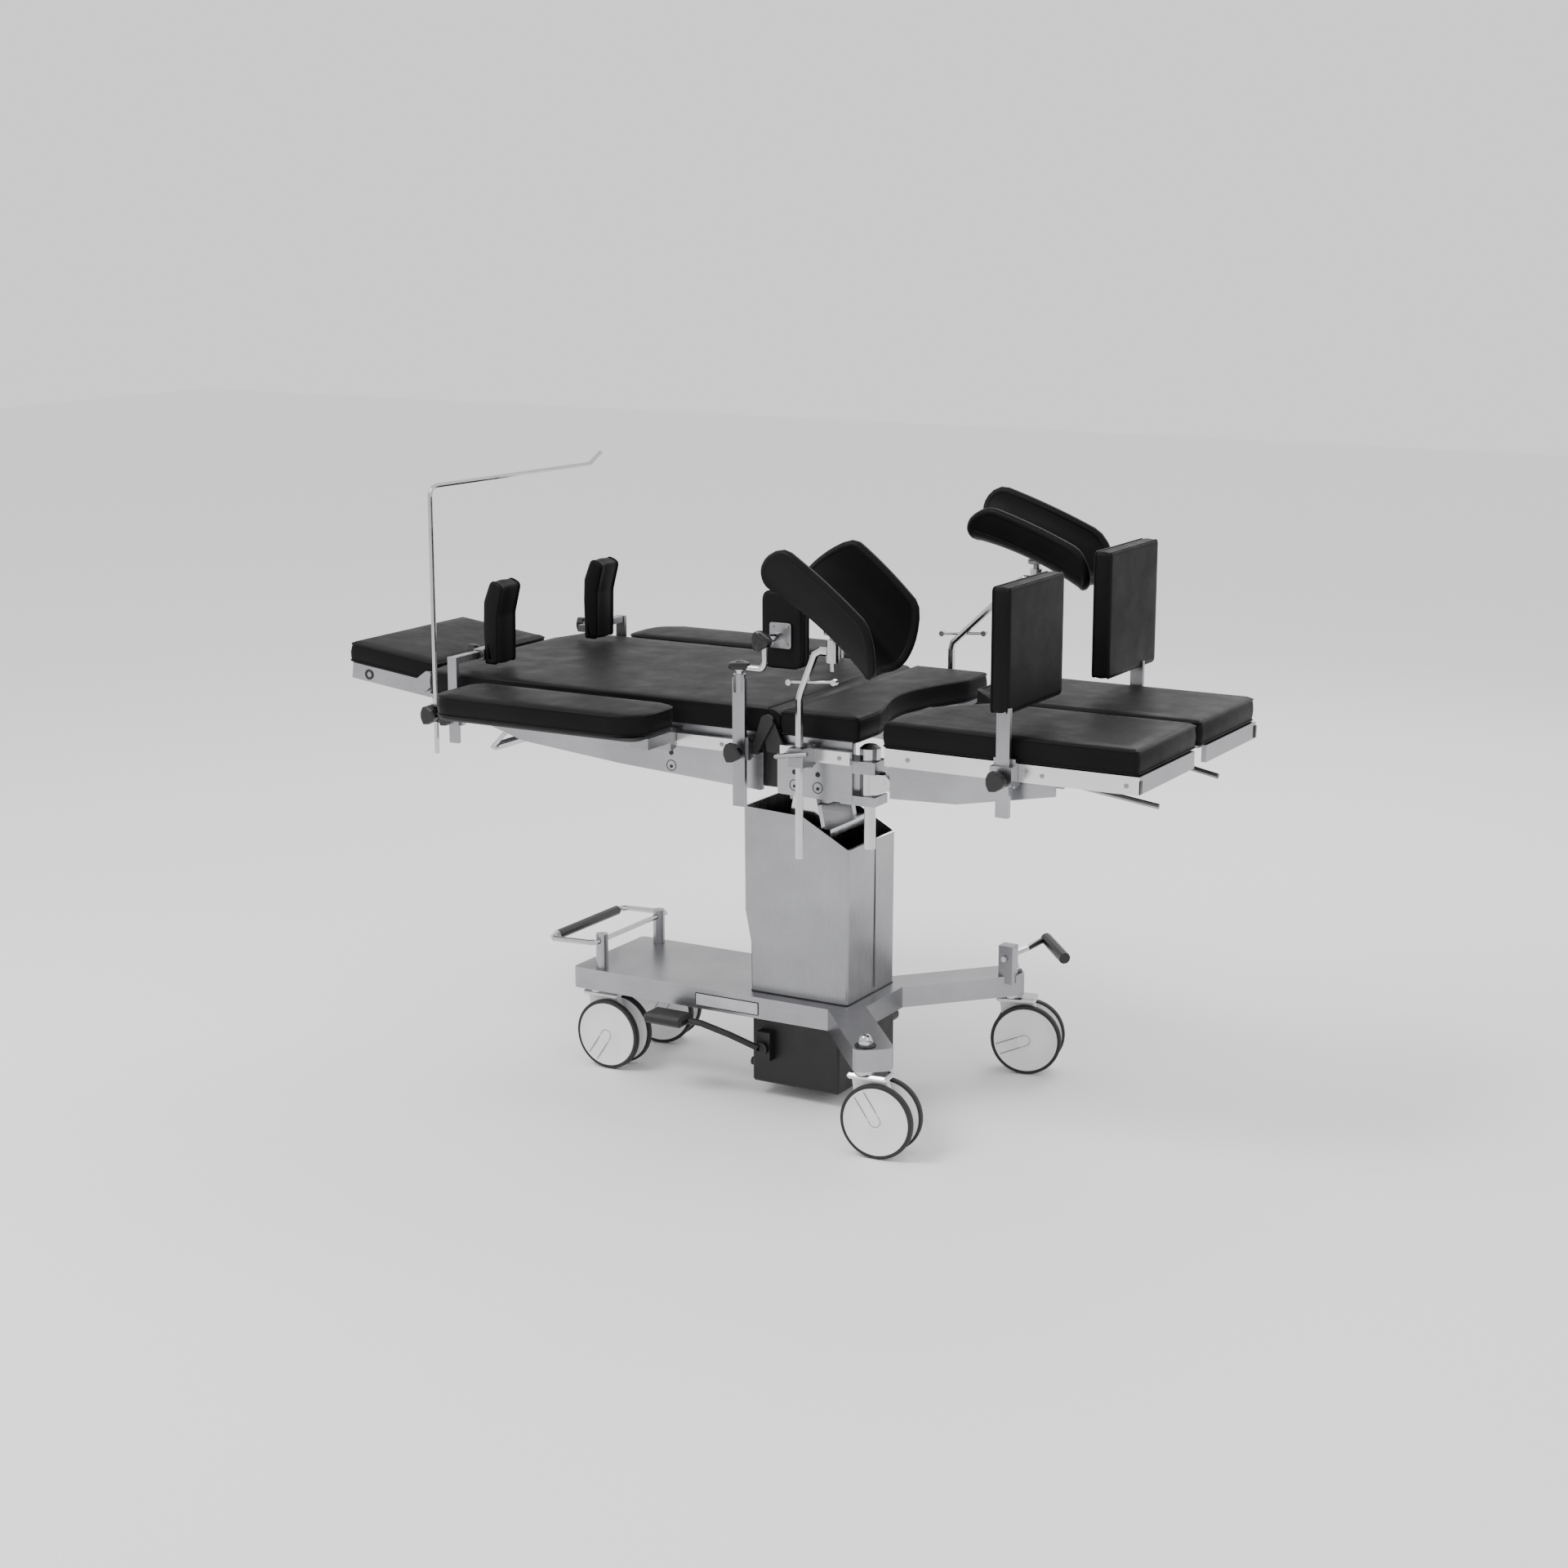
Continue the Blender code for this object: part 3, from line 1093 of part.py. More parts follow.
def centre_on_length():
    """Moves the table so that the middle of its overall length is at x = 0."""
    reach = (0.011 + HEAD_LENGTH) * math.cos(HEAD_RAISE)
    head_end = HEAD_AXIS_X - reach - (PAD_T / 2 - PAD_ROUND) * math.sin(HEAD_RAISE)
    foot_end = LEG_X1 + 0.004
    shift = -(head_end + foot_end) / 2
    for item in bpy.data.objects:
        if item.parent is None:
            item.location.x += shift
    return shift


def main():
    clear_scene()
    KIT["parts"] = new_collection("operating_table")
    KIT["cutters"] = new_collection("cutters")
    for key in MATERIALS:
        KIT[key] = material(key)
    build_all()
    centre_on_length()
    bpy.context.view_layer.update()


main()
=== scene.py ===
import math

import bmesh
import bpy
from mathutils import Matrix, Vector, noise
from mathutils.geometry import delaunay_2d_cdt


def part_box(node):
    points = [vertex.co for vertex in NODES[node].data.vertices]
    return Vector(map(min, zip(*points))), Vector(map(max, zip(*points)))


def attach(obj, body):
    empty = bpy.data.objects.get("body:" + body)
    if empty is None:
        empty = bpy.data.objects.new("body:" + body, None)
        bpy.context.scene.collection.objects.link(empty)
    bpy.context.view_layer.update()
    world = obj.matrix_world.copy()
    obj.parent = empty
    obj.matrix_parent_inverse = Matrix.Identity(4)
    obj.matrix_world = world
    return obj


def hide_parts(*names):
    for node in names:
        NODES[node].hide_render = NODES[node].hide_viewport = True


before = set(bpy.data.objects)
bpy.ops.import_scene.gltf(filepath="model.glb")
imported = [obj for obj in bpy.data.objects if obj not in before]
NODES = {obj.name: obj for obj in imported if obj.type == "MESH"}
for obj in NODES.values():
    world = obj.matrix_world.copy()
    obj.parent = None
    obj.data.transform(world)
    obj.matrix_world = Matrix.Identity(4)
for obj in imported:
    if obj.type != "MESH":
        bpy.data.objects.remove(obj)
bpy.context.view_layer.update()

# The lift column's place along the table: the drawing's x counts from there
COLUMN_X = 0.12062
# Lower and upper face of the table cushions
PAD_LOW = 0.803
PAD_HIGH = 0.851
PAD_MIDDLE = (PAD_LOW + PAD_HIGH) / 2
# Outer face of the seat and back rails, and the height of their screws
RAIL_Y = 0.297
RAIL_MIDDLE = 0.7735
# Outer face of the leg sections' rails
LEG_RAIL_Y = 0.2965
SIDES = (("near", -1), ("far", 1))


def at(x, y, z):
    """A point of the drawing, in the part's frame."""
    return Vector((x + COLUMN_X, y, z))


def upright(hand):
    """Places an outline drawn in x and z, its thickness running outwards on one side."""
    return lambda u, v, w: at(u, hand * w, v)


# Head section: its hinge line and the angle at which it hangs at rest
HEAD_PLACE = Matrix.Translation(at(-0.810, 0, PAD_MIDDLE)) @ Matrix.Rotation(math.radians(6.6), 4, "Y")


# Materials
def node_material(name):
    mat = bpy.data.materials.new(name)
    mat.use_nodes = True
    tree = mat.node_tree
    return mat, tree, tree.nodes["Principled BSDF"]


def add_node(tree, kind, **values):
    node = tree.nodes.new(kind)
    for key, value in values.items():
        node.inputs[key].default_value = value
    return node


def larger_of(tree, first, second):
    node = tree.nodes.new("ShaderNodeMath")
    node.operation = "MAXIMUM"
    tree.links.new(first, node.inputs[0])
    tree.links.new(second, node.inputs[1])
    return node.outputs[0]


def coords(tree, scale):
    """Object coordinates, scaled per axis; they ride with the piece."""
    place = tree.nodes.new("ShaderNodeTexCoord")
    mapping = tree.nodes.new("ShaderNodeMapping")
    mapping.inputs["Scale"].default_value = scale
    tree.links.new(place.outputs["Object"], mapping.inputs["Vector"])
    return mapping.outputs["Vector"]


def noise_value(tree, scale, detail=3.0, rough=0.5):
    tex = add_node(tree, "ShaderNodeTexNoise", Scale=1.0, Detail=detail, Roughness=rough)
    tree.links.new(coords(tree, scale), tex.inputs["Vector"])
    return tex.outputs["Fac"]


def span(tree, value, low, high, from_low=0.3, from_high=0.7):
    """Maps a value onto low to high; a noise mostly runs from 0.3 to 0.7."""
    ramp = tree.nodes.new("ShaderNodeMapRange")
    ramp.inputs["From Min"].default_value = from_low
    ramp.inputs["From Max"].default_value = from_high
    ramp.inputs["To Min"].default_value = low
    ramp.inputs["To Max"].default_value = high
    tree.links.new(value, ramp.inputs["Value"])
    return ramp.outputs["Result"]


def two_tone(tree, factor, first, second):
    mix = tree.nodes.new("ShaderNodeMix")
    mix.data_type = "RGBA"
    mix.inputs["A"].default_value = (*first, 1)
    mix.inputs["B"].default_value = (*second, 1)
    tree.links.new(factor, mix.inputs["Factor"])
    return mix.outputs["Result"]


def add_bump(tree, shader, heights):
    """Chains (height, strength, distance) bumps into the shader's normal."""
    last = None
    for height, strength, distance in heights:
        bump = tree.nodes.new("ShaderNodeBump")
        bump.inputs["Strength"].default_value = strength
        bump.inputs["Distance"].default_value = distance
        tree.links.new(height, bump.inputs["Height"])
        if last:
            tree.links.new(last, bump.inputs["Normal"])
        last = bump.outputs["Normal"]
    tree.links.new(last, shader.inputs["Normal"])


def edge_wear(tree, radius):
    """Near 1 on edges and 0 on flats, from the bevelled normal."""
    bevel = tree.nodes.new("ShaderNodeBevel")
    bevel.samples = 4
    bevel.inputs["Radius"].default_value = radius
    geometry = tree.nodes.new("ShaderNodeNewGeometry")
    dot = tree.nodes.new("ShaderNodeVectorMath")
    dot.operation = "DOT_PRODUCT"
    tree.links.new(bevel.outputs["Normal"], dot.inputs[0])
    tree.links.new(geometry.outputs["Normal"], dot.inputs[1])
    return span(tree, dot.outputs["Value"], 1.0, 0.0, 0.80, 0.995)


def metal(name, dark, light, rough, grain, bump=0.05):
    """Bare metal: brushing along the grain's long direction, smears, brighter worn edges."""
    mat, tree, shader = node_material(name)
    brushing = noise_value(tree, grain, detail=4.0)
    smears = noise_value(tree, (5, 5, 5), detail=5.0, rough=0.6)
    worn = edge_wear(tree, 0.0015)
    tone = tree.nodes.new("ShaderNodeMath")
    tone.operation = "ADD"
    tree.links.new(span(tree, smears, 0.0, 0.50), tone.inputs[0])
    tree.links.new(span(tree, brushing, 0.0, 0.16), tone.inputs[1])
    lit = larger_of(tree, tone.outputs[0], worn)
    tree.links.new(two_tone(tree, lit, dark, light), shader.inputs["Base Color"])
    tree.links.new(span(tree, brushing, rough - 0.03, rough + 0.05), shader.inputs["Roughness"])
    shader.inputs["Metallic"].default_value = 1.0
    add_bump(tree, shader, [(brushing, bump, 0.0004)])
    return mat


def leather(name, dark, light, rough=0.46, grain=900.0):
    """Coated cloth: pebbled grain, soft wrinkles, a slight shine that varies."""
    mat, tree, shader = node_material(name)
    cells = add_node(tree, "ShaderNodeTexVoronoi", Scale=1.0)
    cells.feature = "SMOOTH_F1"
    tree.links.new(coords(tree, (grain, grain, grain)), cells.inputs["Vector"])
    wrinkle = noise_value(tree, (14, 14, 14), detail=6.0, rough=0.62)
    cloud = span(tree, noise_value(tree, (3.5, 3.5, 3.5)), 0.0, 1.0, 0.35, 0.65)
    tree.links.new(two_tone(tree, cloud, dark, light), shader.inputs["Base Color"])
    tree.links.new(span(tree, wrinkle, rough - 0.07, rough + 0.09), shader.inputs["Roughness"])
    shader.inputs["Specular IOR Level"].default_value = 0.08
    shader.inputs["Sheen Weight"].default_value = 0.01
    shader.inputs["Sheen Roughness"].default_value = 0.45
    add_bump(tree, shader, [(wrinkle, 0.10, 0.003), (cells.outputs["Distance"], 0.22, 0.0006)])
    return mat


def moulded(name, dark, light, rough, texture=1400.0, strength=0.12, coat=0.0):
    """Moulded or painted surface with a fine texture, faint scuffs and rubbed edges."""
    mat, tree, shader = node_material(name)
    fine = noise_value(tree, (texture, texture, texture), detail=2.0)
    scuff = noise_value(tree, (22, 22, 22), detail=6.0, rough=0.7)
    rubbed = larger_of(tree, span(tree, scuff, 0.0, 0.6, 0.45, 0.75), edge_wear(tree, 0.0012))
    tree.links.new(two_tone(tree, rubbed, dark, light), shader.inputs["Base Color"])
    tree.links.new(span(tree, scuff, rough - 0.06, rough + 0.12), shader.inputs["Roughness"])
    shader.inputs["Coat Weight"].default_value = coat
    shader.inputs["Coat Roughness"].default_value = 0.2
    add_bump(tree, shader, [(fine, strength, 0.0003)])
    return mat


def grey(level, blue=None):
    return (level, level, level if blue is None else blue)


# Each finish has its dark and its light tone, its roughness, then grain or texture and bump
MATS = {
    "sheet": metal("brushed_stainless", grey(0.27, 0.285), grey(0.46, 0.475), 0.30,
                   (9, 700, 700), 0.03),
    "upright": metal("stainless_upright", grey(0.25, 0.262), grey(0.42, 0.435), 0.28,
                     (700, 700, 9), 0.03),
    "chrome": metal("chrome", grey(0.46, 0.475), grey(0.66, 0.675), 0.14, (40, 40, 40), 0.02),
    "steel": metal("machined_steel", grey(0.24, 0.25), grey(0.42, 0.43), 0.34, (90, 90, 320)),
    "vinyl": leather("black_vinyl", grey(0.0045, 0.005), grey(0.0085, 0.009)),
    "vinyl_band": leather("vinyl_band", grey(0.004, 0.0045), grey(0.007, 0.0075), 0.50),
    # Blacker copy of the vinyl for the knee troughs' inside: painted shade in their hollow
    "vinyl_shaded_inside": leather("vinyl_inside_painted_shade", grey(0.0012), grey(0.0025), 0.46),
    "piping": leather("vinyl_piping", grey(0.003), grey(0.007), 0.38, 1500.0),
    # Polished rail metal; on the column cover's top also a painted highlight
    "bright": metal("polished_rail_and_painted_highlight", grey(0.62, 0.63), grey(0.86, 0.87), 0.22, (6, 260, 260), 0.02),
    "knob": moulded("black_knob_plastic", grey(0.002), grey(0.006), 0.30),
    # Black paint; also used as painted shade in gaps, grooves and on downward faces
    "paint_and_shade": moulded("black_paint", grey(0.0015), grey(0.004), 0.46, 700.0, 0.2),
    "board": moulded("black_board", grey(0.016, 0.017), grey(0.030, 0.032), 0.55, 500.0, 0.25),
    "white": moulded("white_nylon", grey(0.74, 0.75), grey(0.82, 0.83), 0.38, 900.0, 0.06, 0.1),
    "tread": moulded("tread_rubber", grey(0.010, 0.011), grey(0.022, 0.023), 0.62, 600.0, 0.25),
    "plate": moulded("name_plate", grey(0.46, 0.48), grey(0.58, 0.60), 0.30, 900.0, 0.05),
}


# Mesh makers
def finish_mesh(name, bm, mats, body, smooth_angle=35.0):
    """Turns a mesh into a piece; without a body, the caller says later what it rides on."""
    bmesh.ops.remove_doubles(bm, verts=bm.verts, dist=1e-6)
    bmesh.ops.recalc_face_normals(bm, faces=bm.faces)
    mesh = bpy.data.meshes.new(name)
    bm.to_mesh(mesh)
    bm.free()
    for mat in mats:
        mesh.materials.append(MATS[mat])
    for face in mesh.polygons:
        face.use_smooth = True
    mesh.set_sharp_from_angle(angle=math.radians(smooth_angle))
    piece = bpy.data.objects.new(name, mesh)
    bpy.context.scene.collection.objects.link(piece)
    if body:
        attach(piece, body)
    return piece


def offset_outline(points, inset):
    """Moves each edge of a counter-clockwise outline inwards by the inset."""
    out = []
    for i, here in enumerate(points):
        a = Vector(points[i - 1])
        b = Vector(here)
        c = Vector(points[(i + 1) % len(points)])
        before = (b - a).normalized()
        after = (c - b).normalized()
        n1 = Vector((-before.y, before.x))
        n2 = Vector((-after.y, after.x))
        half = n1 + n2
        out.append(b + half * (inset / max(0.3, 1.0 + n1.dot(n2))))
    return out


def soft_corner(corner, to_a, to_c, reach, steps):
    """Points of a curve that leaves one edge and joins the next, reach away from the corner."""
    first = corner + to_a.normalized() * reach
    last = corner + to_c.normalized() * reach
    curve = []
    for k in range(steps + 1):
        t = k / steps
        curve.append(first * (1 - t) ** 2 + corner * 2 * t * (1 - t) + last * t ** 2)
    return curve


def round_outline(points, radii, steps=4):
    """Replaces each corner by an arc of its radius; a radius of 0 keeps the point."""
    out = []
    for i, here in enumerate(points):
        b = Vector(here)
        if radii[i] <= 0:
            out.append(b)
            continue
        to_a = Vector(points[i - 1]) - b
        to_c = Vector(points[(i + 1) % len(points)]) - b
        longest = min(to_a.length * 0.49, to_c.length * 0.49)
        reach = min(radii[i] / math.tan(to_a.angle(to_c) / 2), longest)
        out += soft_corner(b, to_a, to_c, reach, steps)
    return out


def counter_clockwise(points):
    area = sum(a[0] * b[1] - b[0] * a[1] for a, b in zip(points, points[1:] + points[:1]))
    return list(points) if area > 0 else list(reversed(points))


def distance_to(outline, point):
    """Distance to the nearest edge of an outline, up to a metre."""
    best = 1.0
    for i, b in enumerate(outline):
        a = outline[i - 1]
        ab = b - a
        t = max(0.0, min(1.0, (point - a).dot(ab) / max(ab.length_squared, 1e-12)))
        best = min(best, (point - a - ab * t).length)
    return best


def inside(outline, point):
    hit = False
    for i, b in enumerate(outline):
        a = outline[i - 1]
        if (a.y > point.y) != (b.y > point.y):
            if point.x < a.x + (b.x - a.x) * (point.y - a.y) / (b.y - a.y):
                hit = not hit
    return hit


def fill_outline(bm, outline, ring_verts, height, place, cell):
    """Fills an outline with an even mesh whose height comes from the distance to the edge."""
    row = cell * 0.87
    points = list(outline)
    lo = Vector((min(p.x for p in outline), min(p.y for p in outline)))
    hi = Vector((max(p.x for p in outline), max(p.y for p in outline)))
    rows = int((hi.y - lo.y) / row) + 2
    cols = int((hi.x - lo.x) / cell) + 2
    for r in range(rows):
        for c in range(cols):
            p = Vector((lo.x + (c + 0.5 * (r % 2)) * cell, lo.y + r * row))
            if inside(outline, p) and distance_to(outline, p) > cell * 0.55:
                points.append(p)
    count = len(outline)
    edges = [(i, (i + 1) % count) for i in range(count)]
    verts, _, faces, source, _, _ = delaunay_2d_cdt(points, edges, [], 1, 1e-7)
    made = []
    for i, p in enumerate(verts):
        origin = [s for s in source[i] if s < count]
        if origin:
            made.append(ring_verts[origin[0]])
        else:
            made.append(bm.verts.new(place(p.x, p.y, height(p, distance_to(outline, p)))))
    new_faces = []
    for face in faces:
        corners = [made[i] for i in face]
        if len(set(corners)) >= 3:
            try:
                new_faces.append(bm.faces.new(corners))
            except ValueError:
                # The face is there already
                pass
    return new_faces


def circle(bm, centre, side, up, radius, steps):
    """Ring of new points about a centre, in the plane of two directions."""
    ring = []
    for k in range(steps):
        turn = math.tau * k / steps
        right, rise = radius * math.cos(turn), radius * math.sin(turn)
        ring.append(bm.verts.new(centre + side * right + up * rise))
    return ring


def skin(bm, rings, mats=None):
    """Joins rings of equally many points; each band may have its own material."""
    count = len(rings[0])
    for i, (a, b) in enumerate(zip(rings, rings[1:])):
        for k in range(count):
            n = (k + 1) % count
            bm.faces.new((a[k], a[n], b[n], b[k])).material_index = mats[i] if mats else 0


def close_ends(bm, rings, first=0, last=0):
    bm.faces.new(list(reversed(rings[0]))).material_index = first
    bm.faces.new(rings[-1]).material_index = last


def sweep(bm, points, radius, closed=False, sides=8, mat=0):
    """Round tube along a path, closed on itself or capped at both ends."""
    count = len(points)
    rings = []
    side = None
    for i, here in enumerate(points):
        before = points[i - 1] if (closed or i > 0) else here
        after = points[(i + 1) % count] if (closed or i < count - 1) else here
        along = (after - before).normalized()
        if side is None:
            side = along.orthogonal().normalized()
        side = (side - along * side.dot(along)).normalized()
        rings.append(circle(bm, here, side, along.cross(side), radius, sides))
    for i in range(count if closed else count - 1):
        a = rings[i]
        b = rings[(i + 1) % count]
        shift = 0
        if closed and i == count - 1:
            shift = min(range(sides), key=lambda s: (a[0].co - b[s].co).length)
        for k in range(sides):
            corners = (a[k], a[(k + 1) % sides], b[(k + 1 + shift) % sides], b[(k + shift) % sides])
            bm.faces.new(corners).material_index = mat
    if not closed:
        close_ends(bm, rings, mat, mat)


def bend_path(points, radius, steps=6):
    """Polyline with its inner corners rounded."""
    out = [points[0]]
    for before, here, after in zip(points, points[1:], points[2:]):
        to_a = before - here
        to_c = after - here
        reach = min(radius, to_a.length * 0.45, to_c.length * 0.45)
        out += soft_corner(here, to_a, to_c, reach, steps)
    return out + [points[-1]]


def lathe(bm, profile, centre, axis=(0, 0, 1), steps=40, mats=None):
    """Turns (radius, height) pairs about an axis; the ends close on the axis or as flat caps.

    Two points on the axis never follow each other. Each band may have its own material.
    """
    axis = Vector(axis).normalized()
    side = axis.orthogonal().normalized()
    up = axis.cross(side)
    mats = mats or [0] * (len(profile) - 1)
    rings = []
    for r, h in profile:
        if r < 1e-6:
            rings.append([bm.verts.new(centre + axis * h)])
        else:
            rings.append(circle(bm, centre + axis * h, side, up, r, steps))
    for a, b, mat in zip(rings, rings[1:], mats):
        for k in range(steps):
            n = (k + 1) % steps
            if len(a) == 1:
                bm.faces.new((a[0], b[k], b[n])).material_index = mat
            elif len(b) == 1:
                bm.faces.new((a[k], a[n], b[0])).material_index = mat
            else:
                bm.faces.new((a[k], a[n], b[n], b[k])).material_index = mat
    if len(rings[0]) > 1:
        bm.faces.new(list(reversed(rings[0]))).material_index = mats[0]
    if len(rings[-1]) > 1:
        bm.faces.new(rings[-1]).material_index = mats[-1]


def plank(bm, outline, low, high, place, bevel):
    """Flat outline with thickness and rounded long edges."""
    outline = counter_clockwise([tuple(p) for p in outline])
    turns = (0, math.pi / 4, math.pi / 2)
    levels = [(bevel * (1 - math.sin(t)), low + bevel * (1 - math.cos(t))) for t in turns]
    levels += [(bevel * (1 - math.cos(t)), high - bevel * (1 - math.sin(t))) for t in turns]
    rings = []
    for inset, z in levels:
        rings.append([bm.verts.new(place(p.x, p.y, z)) for p in offset_outline(outline, inset)])
    skin(bm, rings)
    close_ends(bm, rings)


def block(bm, x, y, z, bevel):
    """Upright block with softened edges, in the drawing's frame."""
    corners = [(x[0], y[0]), (x[1], y[0]), (x[1], y[1]), (x[0], y[1])]
    plank(bm, corners, z[0], z[1], at, bevel)


def wrinkles(p):
    broad = noise.noise(Vector((p.x * 7, p.y * 7, 1.0)))
    fine = noise.noise(Vector((p.x * 22, p.y * 22, 1.0)))
    return broad * 0.6 + fine * 0.4


# Cushion section: where the top panel's even mesh begins, how far in from there the crown is
# reached, the piping's radius; then the cloth run's length and how far it may push the cover
PANEL_INSET = 0.010
CROWN_REACH = 0.035
PIPING = 0.0016
CLOTH_FRAMES = 20
MOST_SWELL = 0.0018


def relax(piece):
    """Short cloth run: the foam presses the cover outwards while its seams hold still."""
    rest = [v.co.copy() for v in piece.data.vertices]
    cloth = piece.modifiers.new("cover", "CLOTH")
    cloth.settings.quality = 4
    cloth.settings.mass = 0.3
    cloth.settings.use_pressure = True
    cloth.settings.uniform_pressure_force = 4.0
    cloth.settings.effector_weights.gravity = 0.0
    cloth.settings.vertex_group_mass = "seams"
    cloth.settings.tension_stiffness = 25.0
    cloth.settings.compression_stiffness = 25.0
    cloth.settings.bending_stiffness = 4.0
    cloth.point_cache.frame_start = 1
    cloth.point_cache.frame_end = CLOTH_FRAMES
    scene = bpy.context.scene
    for step in range(CLOTH_FRAMES):
        scene.frame_set(step + 1)
    shown = piece.evaluated_get(bpy.context.evaluated_depsgraph_get())
    moved = [v.co.copy() for v in shown.data.vertices]
    piece.modifiers.remove(cloth)
    scene.frame_set(1)
    for vert, before, after in zip(piece.data.vertices, rest, moved):
        step = after - before
        if step.length > MOST_SWELL:
            step *= MOST_SWELL / step.length
        vert.co = before + step


def cushion(name, body, outline, radii, low, high, place=at, crown=0.0018, cell=0.022, skip=None,
            both=False, edge=0.0034):
    """Boxed cushion: flat base, side band between two piped seams and a crowned top panel.

    With both, the base is crowned as the top is. The seams leave out the points that skip names.
    """
    order = list(range(len(outline)))
    if counter_clockwise([tuple(p) for p in outline]) != [tuple(p) for p in outline]:
        order.reverse()
    outline = [outline[i] for i in order]
    radii = [radii[i] for i in order] if isinstance(radii, (list, tuple)) else [radii] * len(outline)

    def ring_at(inset):
        pts = offset_outline(outline, inset)
        return round_outline(pts, [0 if r == 0 else max(0.0012, r - inset) for r in radii])

    thick = high - low
    bulge = min(0.0007, thick * 0.02)
    lift = crown * (1 - math.exp(-PANEL_INSET / CROWN_REACH))
    top = [(0.0018, high - edge - PIPING), (0.0010, high - edge), (edge * 0.55, high - edge * 0.38),
           (edge * 1.25, high - edge * 0.06), (PANEL_INSET, high + lift)]
    if both:
        bottom = [(i, low + high - z) for i, z in reversed(top)]
    else:
        bottom = [(PANEL_INSET, low), (edge * 0.9, low + 0.0003), (0.0012, low + edge * 0.9),
                  (0.0018, low + edge + PIPING)]
    middle = [(0.0003, low + thick * 0.28), (-bulge, low + thick * 0.5), (0.0003, low + thick * 0.72)]
    levels = bottom + middle + top
    bm = bmesh.new()
    rings = []
    for inset, z in levels:
        rings.append([bm.verts.new(place(p.x, p.y, z)) for p in ring_at(inset)])
    first_band = len(bottom) - 2
    last_band = len(bottom) + len(middle)
    skin(bm, rings, [int(first_band <= i <= last_band) for i in range(len(rings) - 1)])
    still = (first_band + 1, last_band, last_band + 1, *range(first_band + 1))
    held = {v for i in still for v in rings[i]}

    def top_height(p, d):
        swell = 1 - math.exp(-(d + PANEL_INSET) / CROWN_REACH)
        return high + crown * swell + wrinkles(p) * 0.00035

    def base_height(p, d):
        return low + high - top_height(p, d) if both else low

    panel = ring_at(PANEL_INSET)
    fill_outline(bm, panel, rings[-1], top_height, place, cell)
    base_cell = cell if both else cell * 2
    base_faces = fill_outline(bm, panel, rings[0], base_height, place, base_cell)
    if not both:
        held.update(v for f in base_faces for v in f.verts)
    bm.verts.index_update()
    held_index = [v.index for v in held]
    piece = finish_mesh(name, bm, ["vinyl", "vinyl_band", "piping"], None, smooth_angle=60.0)
    group = piece.vertex_groups.new(name="seams")
    group.add(held_index, 1.0, "REPLACE")
    relax(piece)
    piece.vertex_groups.clear()
    cord = bmesh.new()
    cord.from_mesh(piece.data)
    upper = high - edge - 0.0004
    for z in (upper, low + high - upper if both else low + edge):
        whole = ring_at(0.0010)
        ring = [p for p in whole if not (skip and skip(p))]
        closed = len(ring) == len(whole)
        if not closed:
            cut = max(range(len(ring)), key=lambda i: (ring[i] - ring[i - 1]).length)
            ring = ring[cut:] + ring[:cut]
        sweep(cord, [place(p.x, p.y, z) for p in ring], PIPING, closed=closed, mat=2)
    cord.to_mesh(piece.data)
    cord.free()
    for face in piece.data.polygons:
        face.use_smooth = True
    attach(piece, body)
    return piece


# Finishes of the kept solids
def repaint(node, base, *rules):
    """Gives a kept solid its finish; each rule is (material, test of the face's centre and normal)."""
    mesh = NODES[node].data
    mesh.materials.clear()
    for mat in (base,) + tuple(rule[0] for rule in rules):
        mesh.materials.append(MATS[mat])
    for face in mesh.polygons:
        face.material_index = 0
        centre = face.center - Vector((COLUMN_X, 0, 0))
        for k, rule in enumerate(rules):
            if rule[1](centre, face.normal):
                face.material_index = k + 1


# Tests of a face's centre and normal, in the drawing's frame
def on_knob(c, n):
    """Clamp and knob are one solid: past this, it is the knob."""
    return abs(c.y) > RAIL_Y + 0.0335


def on_leg_rail(c, n):
    return abs(c.y) > 0.2850


def on_rail(c, n):
    return abs(c.y) > 0.2865 and c.z > 0.757


def painted_hinge_gap_shade(c, n):
    """Painted shade: behind the rails' ends the frame is painted black for the dark gap between back
    and seat.
    """
    return c.z > 0.765 and abs(c.y) > 0.2835 and abs(c.x - 0.055) < 0.045


def above_rail(c, n):
    """The shadowed strip between the rails and the cushions."""
    return c.z > 0.7925 and abs(c.y) > 0.283


# Painted shade: the leg frame's downward faces are painted black
def painted_shade_under_leg_plate(c, n):
    return n.z < -0.9 and c.z > 0.74


BRAKE_GRIP_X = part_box("brake_bar")[0].x - COLUMN_X + 0.022


def on_brake_grip(c, n):
    return c.x < BRAKE_GRIP_X and abs(c.y) < 0.094


# Kept solids with one finish all over
PLAIN = {
    "base_frame": "sheet", "base_cover": "sheet", "lift_cylinder": "steel",
    "hydraulic_unit": "paint_and_shade", "lift_column": "chrome", "tilt_yoke": "steel",
    "head_frame": "sheet", "screen_rod": "chrome", "pump_pedal": "paint_and_shade",
    "back_release_bail": "chrome",
    "leg_holder_post_near": "chrome", "leg_holder_post_far": "chrome",
    "shoulder_knob_near": "knob", "shoulder_knob_far": "knob",
}
for key, mat in PLAIN.items():
    repaint(key, mat)
# The column cover's upward faces take the bright rail metal: a painted highlight along its top
repaint("column_shroud", "upright", ("bright", lambda c, n: n.z > 0.3))
for key in ("leg_hinge_near", "leg_hinge_far"):
    repaint(key, "chrome", ("knob", lambda c, n: c.z > 0.7885))
# Leg frames: polished rails, and their downward faces painted black as painted shade
for key in ("leg_frame_near", "leg_frame_far"):
    repaint(key, "sheet", ("bright", on_leg_rail), ("paint_and_shade", painted_shade_under_leg_plate))
